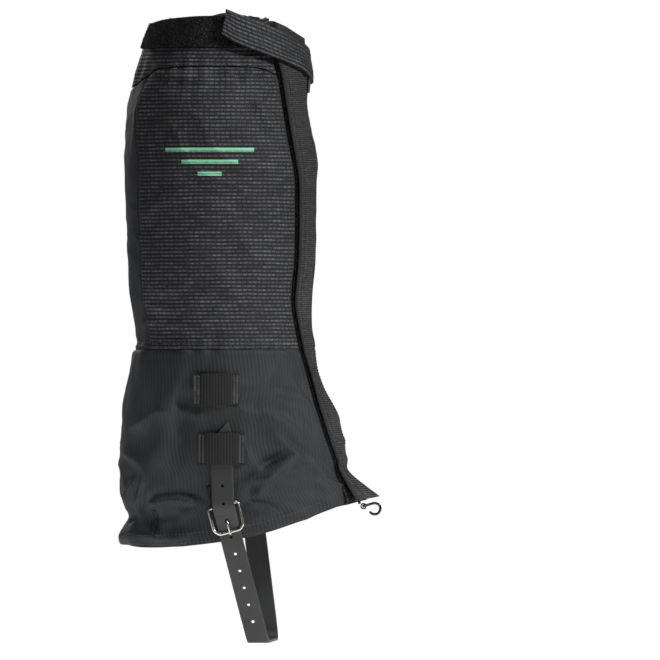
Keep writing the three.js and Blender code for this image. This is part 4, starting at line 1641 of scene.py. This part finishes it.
@dataclass
class Keeper:
    """A loop of webbing for the strap's tail, sewn down at both ends with zigzag tacks."""

    finishes: Finishes
    node: str
    x: float
    z: float
    width: float
    rise: float
    tall: float = 24.0
    thick: float = 1.1

    def lift(self, s: Array) -> Array:
        """Height of the webbing's inner face off the cloth: flat at its ends and risen in between."""
        half = self.width / 2
        return Curve(((-half, GAP), (4.2 - half, GAP), (6.8 - half, self.rise), (half - 6.8, self.rise),
                      (half - 4.2, GAP), (half, GAP)))(s)

    def place(self, s: Array, t: Array, depth: Array) -> tuple[Array, Array]:
        """Points on the keeper, which follows the cloth's folds at its ends and spans them in between.

        Args:
            s: places along the keeper.
            t: places up it.
            depth: how far off the cloth.
        Returns:
            The points, and the directions outwards there.
        """
        x, z = self.x + s, self.z + t
        angle = SKIN.angle_of(x, z, Side.OUTER)
        middle = SKIN.angle_of(np.full_like(s, self.x), np.full_like(s, self.z), Side.OUTER)
        calm = SKIN.relief(middle, self.z + t * 0)
        end = ramp(np.abs(s), self.width / 2 - 6, self.width / 2 - 3)
        lie = mix(calm * 0.5, np.maximum(SKIN.relief(angle, z), 0), end)
        return SKIN.at(angle, z, depth + lie), SKIN.normal(angle, z)

    def build(self) -> None:
        """Builds the webbing with its selvedges, folded ends and tacks."""
        s = stops(-self.width / 2, self.width / 2, 60)
        s, t = np.meshgrid(s, stops(-self.tall / 2, self.tall / 2, 34), indexing="ij")
        edge = np.minimum(self.width / 2 - np.abs(s), self.tall / 2 - np.abs(t))
        plump = rounding(edge, 0.55) * 0.85 + 0.15
        doubled = 0.45 * ramp(np.abs(s), self.width / 2 - 6.2, self.width / 2 - 5.4)
        ribs = 0.12 * np.cos(s * 2 * np.pi / 1.5) + 0.16 * bell(self.tall / 2 - np.abs(t) - 1.2, 0.5)
        lift, half = self.lift(s), self.thick / 2
        outer, _ = self.place(s, t, lift + half + half * plump + doubled + ribs * plump)
        inner, _ = self.place(s, t, lift + half - half * plump)
        made = closed(self.node + "_webbing", outer, inner, np.stack([s, t], -1))
        self.finishes.dress(made, "webbing", Body.SHELL, self.node)
        rows = []
        for side in (-1, 1):
            for off in ((1.6, 3.9) if side > 0 else (1.6, 4.2)):
                count = 21
                up = np.linspace(1.5 - self.tall / 2, self.tall / 2 - 1.5, count)
                swing = np.where(np.arange(count) % 2, 1.15, -1.15)
                along = side * (self.width / 2 - off) + swing
                p, n = self.place(along, up, self.lift(along) + self.thick + 0.42)
                rows.append(Stitch(0.26).between(p[:-1], p[1:], n[:-1]))
        self.finishes.dress(sewn(self.node + "_tacks", rows), "tack_thread", Body.SHELL)


class Strap:
    """The under-foot strap: up the inner side, under the arch, up the outer side and through the keeper."""

    width = 16.5
    thick = 2.5
    pitch = 13.3
    point_length = 14.0
    apex = -4.0
    tail_end = 75.0
    anchor_lift = 2.6
    cell = 0.7
    holes = (-6, 2)
    hole_radius = 1.2
    prong_hole_radius = 1.7

    def __init__(self, finishes: Finishes) -> None:
        """Works out the route: straight runs between corners, each corner a parabola.

        Args:
            finishes: all the finishes.
        """
        self.finishes = finishes
        half, on = self.thick / 2, self.seat
        route = (
            (on(Side.INNER, -12.0, 120.0, self.anchor_lift), 0),
            (on(Side.INNER, -6.8, 80.0, self.anchor_lift), 6),
            (np.array([4, 43, -half]), 8), (np.array([-3, -43, -half]), 8),
            (on(Side.OUTER, -22.4, 74.0, 0.95), 4), (on(Side.OUTER, -24.2, 81.5, 0.95), 3),
            (on(Side.OUTER, -28.9, 101.3, 6.2), 4), (on(Side.OUTER, -29.7, 118.0, 2.8), 5),
            (on(Side.OUTER, -29.7, 129.0, 0.8), 4), (on(Side.OUTER, -29.7, 164.0, 0.8), 0),
        )
        places = np.array([place for place, _ in route])
        curve = rounded(places, np.array([[float(reach)] for _, reach in route]), 9)
        path = np.concatenate([places[:1], curve[1:-1].reshape(-1, 3), places[-1:]])
        keep = np.concatenate([[True], np.linalg.norm(np.diff(path, axis=0), axis=1) > 1e-6])
        self.path = path[keep]
        self.reach = run_length(self.path)
        self.length = self.reach[-1]
        self.prong = self.length - self.tail_end

    def seat(self, side: Side, x: float, z: float, lift: float) -> Array:
        """The strap's middle where its inner face lies a lift off the skin, at a side place and a height."""
        return SKIN.at(SKIN.angle_of(np.array(x), np.array(z), side), np.array(z), lift + self.thick / 2)

    def read(self, distance: Array) -> Array:
        """Points of the strap's centre line at distances along it."""
        return read_at(distance, self.reach, self.path)

    def at(self, distance: Array, across: Array, depth: Array) -> Array:
        """Points in the strap, whose centre line is smoothed by the mean of three places 1.2 apart.

        Args:
            distance: how far along it.
            across: how far across it, to the heel.
            depth: how far out of the leg.
        Returns:
            The points.
        """
        centre = sum(self.read(distance + step) for step in (-1.2, 0.0, 1.2)) / 3
        ahead, behind = np.minimum(distance + 2.5, self.length), np.maximum(distance - 2.5, 0)
        tangent = unit(self.read(ahead) - self.read(behind))
        heel = np.array([-1.0, 0, 0])
        side = unit(heel - tangent * (tangent @ heel)[..., None])
        out = np.cross(side, tangent)
        return centre + side * across[..., None] + out * depth[..., None]

    def segment(self, name: str, low: float, high: float, tail: bool) -> bpy.types.Object:
        """One length of the strap, with round holes.

        The grid's cells are squares, and each hole's block of four by four cells is left out. A point at the
        block's edge moves to the hole's circle, and less so further away, until two cells on.

        Args:
            name: the piece's name.
            low: where it starts along the strap.
            high: where it ends.
            tail: whether it has the pointed tip.
        Returns:
            The object.
        """
        first = self.prong + np.ceil((low - self.prong) / self.cell - 1e-6) * self.cell
        inner = np.arange(first, high - 1e-3, self.cell)
        s = np.unique(np.round(np.concatenate([[low], inner, [high]]), 5))
        near_edge = np.array([0.993, 0.972])
        v = np.sort(np.concatenate([np.linspace(-1, 1, 25), near_edge, -near_edge]))
        s, v = np.meshgrid(s, v, indexing="ij")
        across = v * self.width / 2
        block, far = 2 * self.cell, 4 * self.cell
        hole = np.round((s - self.prong) / self.pitch)
        ds, dv = s - self.prong - hole * self.pitch, across
        open_hole = (np.abs(ds) < far) & self.punched(hole)
        radius = np.where(hole == 0, self.prong_hole_radius, self.hole_radius)
        square = np.maximum(np.abs(ds), np.abs(dv))
        share = np.clip((far - square) / (far - block), 0, 1) * open_hole * (square > 1e-9)
        away = np.maximum(np.hypot(ds, dv), 1e-9)
        s = mix(s, self.prong + hole * self.pitch + ds / away * radius, share)
        across = mix(across, dv / away * radius, share)
        lip = 0.16 * open_hole * bell(np.maximum(square - block, 0) / self.cell, 1.1)
        t = np.clip((s - self.length + self.point_length) / self.point_length, 0, 1) if tail else 0 * s
        reach = (across + self.width / 2) / self.width
        across = mix(mix(-self.width / 2, self.apex - 0.6, t), mix(self.width / 2, self.apex + 0.6, t), reach)
        edge = np.minimum(reach, 1 - reach) * mix(self.width, 1.2, t)
        ends = np.minimum(s, self.length - s)
        off = np.minimum(edge, ends) if tail or low < 1 else edge
        half = self.thick / 2
        plump = half * (0.45 + 0.55 * rounding(off, 0.7))
        corner = grid_quads(*s.shape)
        centre_s = (s.ravel()[corner]).mean(1) - self.prong
        near = np.round(centre_s / self.pitch)
        gone = ((np.abs(centre_s - near * self.pitch) < block * 0.72) & self.punched(near)
                & (np.abs(across.ravel()[corner].mean(1)) < block * 0.72))
        outer, inner = self.at(s, across, plump - lip * 0.6), self.at(s, across, -plump + lip * 0.6)
        return closed(name, outer, inner, np.stack([s, across], -1), corner[~gone])

    def punched(self, hole: Array) -> Array:
        """Whether the strap has the hole of a number, where 0 is the prong's and the tail's are above it."""
        return (hole >= self.holes[0]) & (hole <= self.holes[1])

    def build(self) -> None:
        """Builds the strap's two lengths, joined where the buckle holds it, and its anchor."""
        split = self.prong + 4.55
        run = self.segment("under_foot_strap_run", 0.0, split, False)
        tail = self.segment("under_foot_strap_tail", split, self.length, True)
        dress = self.finishes.dress
        dress(run, "coated", None, "under_foot_strap")
        dress(tail, "coated", None)
        for made, start, end in ((run, (-0.02, -0.0500, 0.05), (-0.02, -0.0565, 0.05)),
                                 (tail, (-0.029, -0.057, 0.1090), (-0.029, -0.057, 0.0990))):
            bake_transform(made)
        x, z = np.meshgrid(stops(-21, 1, 24), stops(88, 118, 32), indexing="ij")
        angle = SKIN.angle_of(x, z, Side.INNER)
        outer = SKIN.at(angle, z, GAP + TAPE + np.clip(SKIN.relief(angle, z), 0, 0.6))
        inner = SKIN.at(angle, z, GAP + np.clip(SKIN.relief(angle, z), 0, 0.6))
        patch = closed("strap_anchor_cloth", outer, inner, np.stack([x, z], -1))
        dress(patch, "webbing", Body.SHELL, "strap_anchor_patch")
        for place, node in (((-8.9, 96.0), "anchor_rivet_lower"), ((-10.7, 110.0), "anchor_rivet_upper")):
            self.rivet(place, node)

    def rivet(self, place: tuple, node: str) -> None:
        """A turned rivet with a domed head and a flat back.

        Args:
            place: its place along the leg's side and its height.
            node: the solid that it stands for.
        """
        z = np.array(place[1])
        angle = SKIN.angle_of(np.array(place[0]), z, Side.INNER)
        back, head = INSIDE, self.anchor_lift + self.thick + 1
        profile = np.array([(0.02, back - 1), (3.4, back - 1), (3.9, back - 0.8), (4.0, back - 0.4),
                            (3.8, back), (1.8, back), (1.8, head), (3.9, head), (4.2, head + 0.2),
                            (4.1, head + 0.5),
                            (3.6, head + 0.9), (2.9, head + 1.2), (2.0, head + 1.42), (1.0, head + 1.5),
                            (0.02, head + 1.5)])
        made = wired(node + "_turned", [lathe(profile, SKIN.point(angle, z), SKIN.normal(angle, z))])
        self.finishes.dress(made, "steel", Body.SHELL, node)


@dataclass
class Buckle:
    """The buckle: a wire frame and a prong on one heel bar, held by a folded chape."""

    finishes: Finishes
    half: float = 11.35
    drop: float = 20.5
    lean: float = 1.6
    wire: float = 1.15
    eye: float = 1.9

    tilt = 15.4 * RAD
    across = np.array([np.cos(tilt), 0, np.sin(tilt)])
    down = np.array([np.sin(tilt), 0, -np.cos(tilt)])
    out = np.array([0.0, -1, 0])
    bar = np.array([-29.3026, -56.8182, 100.8392])

    def at(self, across: Any, down: Any, out: Any) -> Array:
        """Points in the buckle's own directions from its heel bar."""
        a, d, o = (np.asarray(v, float)[..., None] for v in (across, down, out))
        return self.bar + a * self.across + d * self.down + o * self.out

    def build(self) -> None:
        """Builds the frame, the prong and the chape."""
        dress, corner = self.finishes.dress, 3.6
        outline = [(-self.half, 0), (self.half, 0), (self.half, self.drop - corner),
                   (self.half - corner, self.drop), (corner - self.half, self.drop),
                   (-self.half, self.drop - corner)]
        points = [self.at(a, d, self.lean * d / self.drop) for a, d in outline]
        ring = rounded(points, 1.9, 7).reshape(-1, 3)
        frame = wired("buckle_frame_wire", [tube(ring, self.wire, 16, loop=True)])
        dress(frame, "steel", Body.FRAME, "buckle_frame")
        shank = ((1.7, -0.2), (5, -0.7), (8.4, -1), (10.4, -0.3), (11.6, 2.2), (13, 4.3), (16.5, 4.7),
                 (22, 4.35))
        line = smooth_path([self.at(0, d, o) for d, o in shank], 6)
        turn = np.linspace(0, 2 * np.pi, 28, endpoint=False)
        rings = [self.at(np.full(28, a), self.eye * np.cos(turn), self.eye * np.sin(turn))
                 for a in (-1.05, -0.35, 0.35, 1.05)]
        parts = [tube(line, 0.9, 12)] + [tube(r, 0.45, 10, loop=True) for r in rings]
        dress(wired("buckle_prong_wire", parts), "steel", Body.PRONG, "buckle_prong")
        self.chape()

    def chape(self) -> None:
        """The chape: webbing from the cloth round the heel bar, in two strips beside the prong's slot."""
        turn = np.linspace(0.35, 2 * np.pi - 0.9, 24)
        loop_d = np.concatenate([np.linspace(-17, -2.6, 14), -self.eye * np.cos(turn)])
        loop_o = np.concatenate([np.full(14, np.nan), self.eye * np.sin(turn)])
        parts = []
        for low, high in ((-8.5, -2.1), (2.1, 8.5)):
            a = np.linspace(low, high, 9)
            aa, dd = np.meshgrid(a, loop_d, indexing="ij")
            _, oo = np.meshgrid(a, loop_o, indexing="ij")
            points = self.at(aa, dd, np.nan_to_num(oo))
            cloth = np.isnan(oo)
            angle = SKIN.angle_of(points[..., 0], points[..., 2], Side.OUTER)
            flat = SKIN.at(angle, points[..., 2], np.full(angle.shape, 1.7))
            points = np.where(cloth[..., None], flat, points)
            normal = unit(np.cross(np.gradient(points, axis=0), np.gradient(points, axis=1)))
            parts.append(shell(points + normal * 0.42, points - normal * 0.42))
        self.finishes.dress(wired("buckle_chape_webbing", parts), "webbing", Body.SHELL, "buckle_chape")


@dataclass
class LaceHook:
    """The hook that catches the boot's lace, on a tab under the flap's lip."""

    finishes: Finishes
    x: float = 76.3
    z: float = 99.6
    fold: float = 1.9

    def build(self) -> None:
        """Builds the hook and its tab."""
        x, z = self.x, self.z
        eye = [(x, -6.4, z), (x, 6.4, z), (x + 6, 1.6, z + 1.8), (x + 6, -1.6, z + 1.8)]
        bend = [(x + 5.6, 0, z + 1.7), (x + 9, 0, z + 2.2), (x + 12, 0, z + 0.6), (x + 12.6, 0, z - 2.6),
                (x + 10.6, 0, z - 5.6), (x + 7.2, 0, z - 6), (x + 5, 0, z - 4.6)]
        ring = rounded(eye, 1.2, 6).reshape(-1, 3)
        parts = [tube(ring, 1.0, 12, loop=True), tube(smooth_path(bend, 6), 1.0, 12)]
        self.finishes.dress(wired("lace_hook_wire", parts), "dark_steel", Body.HOOK, "lace_hook")
        y, level = np.meshgrid(stops(-3.4, 3.4, 10), stops(-0.02, 0.095, 16), indexing="ij")
        angle = y / 45
        height = SKIN.height(angle, level)
        lip = 0.6 * SKIN.lip(angle, height)
        faces = []
        for depth in (-2.0, -3.6):
            p = SKIN.at(angle, height, np.full(angle.shape, depth))
            p[..., 0] += lip
            faces.append(p)
        tab = closed("hook_tab_sewn", faces[0], faces[1], np.stack([y, height], -1))
        self.finishes.dress(tab, "webbing", Body.SHELL, "hook_tab")
        turn = np.linspace(0, 2 * np.pi, 32, endpoint=False)
        rings = [np.stack([x + self.fold * np.cos(turn), np.full(32, a), z + self.fold * np.sin(turn)], -1)
                 for a in np.linspace(-3.1, 3.1, 9)]
        ring = wired("hook_tab_fold", [tube(r, 0.48, 8, loop=True) for r in rings])
        self.finishes.dress(ring, "webbing", Body.SHELL)


@dataclass
class Mark:
    """Plain printed bars on the outer panel."""

    finishes: Finishes
    bars: tuple = ((-72, -6, 366, 3.0), (-60, -18, 357, 3.0), (-48, -30, 348, 3.0))

    def build(self) -> None:
        """Each bar is a thin closed layer on the folded cloth."""
        parts = []
        for low, high, z0, tall in self.bars:
            x, z = np.meshgrid(stops(low, high, 60), stops(z0, z0 + tall, 6), indexing="ij")
            angle = SKIN.angle_of(x, z, Side.OUTER)
            parts.append(shell(*(SKIN.draped(angle, z, np.full(x.shape, d)) for d in (0.14, 0.02))))
        self.finishes.dress(wired("printed_bars", parts), "print", Body.SHELL)


# ---- the scene


@dataclass(frozen=True)
class Studio:
    """Camera, soft lights and a pale floor."""

    aim: tuple = (0.051, 0.0, 0.2325)
    seen: float = 0.495
    lens: float = 600.0
    sensor: float = 36.0
    floor: float = -0.0026

    def camera(self) -> None:
        """A long lens that looks square at the outer side."""
        data = bpy.data.cameras.new("camera")
        data.lens, data.sensor_width = self.lens, self.sensor
        data.dof.use_dof = False
        data.clip_start, data.clip_end = 0.5, 60.0
        camera = bpy.data.objects.new("camera", data)
        distance = self.seen * self.lens / self.sensor + 0.05
        camera.location = (self.aim[0], -distance, self.aim[2])
        camera.rotation_euler = (np.pi / 2, 0, 0)
        bpy.context.scene.collection.objects.link(camera)
        bpy.context.scene.camera = camera

    def lights(self) -> None:
        """A key from the upper right front, a weak fill, a rim light, a soft sun and the sky."""
        lamps = (("key", "AREA", (2.25, -1.2, 1.85), 0.4, 66), ("fill", "AREA", (-2.2, -1.5, 0.7), 1.5, 2.5),
                 ("back", "AREA", (-0.9, 2.4, 1.4), 1.5, 22), ("noon", "SUN", (0.0, 0.0, 3.0), 0.6, 1.7))
        for name, kind, place, size, power in lamps:
            data = bpy.data.lights.new(name, kind)
            data.energy = power
            if kind == "AREA":
                data.size = size
            else:
                data.angle = size
            lamp = bpy.data.objects.new(name, data)
            lamp.location = place
            aim = np.array([0.0, 0, 0.25]) - np.array(place)
            flat = np.hypot(aim[0], aim[1])
            lamp.rotation_euler = (np.pi / 2 + np.arctan2(aim[2], flat), 0, np.arctan2(-aim[0], aim[1]))
            bpy.context.scene.collection.objects.link(lamp)
        self.sky()

    def sky(self) -> None:
        """A white sky that lights the object less than it shows."""
        world = bpy.data.worlds.new("sky")
        world.use_nodes = True
        tree = world.node_tree
        path = tree.nodes.new("ShaderNodeLightPath")
        reach = tree.nodes.new("ShaderNodeMapRange")
        reach.inputs["To Min"].default_value = 0.06
        reach.inputs["To Max"].default_value = 1.0
        tree.links.new(path.outputs["Is Camera Ray"], reach.inputs["Value"])
        tree.nodes["Background"].inputs["Color"].default_value = (1, 1, 1, 1)
        tree.links.new(reach.outputs[0], tree.nodes["Background"].inputs["Strength"])
        bpy.context.scene.world = world
        bpy.context.scene.view_settings.view_transform = "Standard"

    def floor_plane(self) -> None:
        """A round pale floor under the strap: rings of vertices from its centre out."""
        radius, turn = np.meshgrid(np.linspace(1, 600, 12), np.linspace(0, 2 * np.pi, 49)[:-1], indexing="ij")
        level = np.full_like(radius, self.floor / MM)
        points = np.stack([radius * np.cos(turn), radius * np.sin(turn), level], -1)
        flat = points.reshape(-1, 3)
        made = piece("floor", flat, grid_quads(12, 48, ring=True), flat[:, :2])
        shader = Shader("floor", 0.9)
        tone = shader.colour(shader.noise(3, 2), (0.86, 0.86, 0.86), (0.9, 0.9, 0.9))
        shader.tree.links.new(tone.socket, shader.base.inputs["Base Color"])
        shader.base.inputs["Emission Color"].default_value = (1, 1, 1, 1)
        shader.base.inputs["Emission Strength"].default_value = 0.52
        made.data.materials.append(shader.material)


def main() -> None:
    """Builds the scene in order."""
    logging.basicConfig(level=logging.INFO, format="%(message)s")
    studio = Studio()
    studio.camera()
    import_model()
    finishes = Finishes()
    parts = (
        Panels(finishes), Collar(finishes), Front(finishes), TopStrap(finishes),
        Keeper(finishes, "keeper_upper", -34.5, 188.0, 34.0, 2.4),
        Keeper(finishes, "keeper_lower", -30.5, 143.5, 35.0, 3.9),
        Strap(finishes), Buckle(finishes), LaceHook(finishes), Mark(finishes),
    )
    for part in parts:
        LOG.info("building %s", type(part).__name__)
        part.build()
    studio.floor_plane()
    studio.lights()
    bpy.context.view_layer.update()


if __name__ == "__main__":
    main()
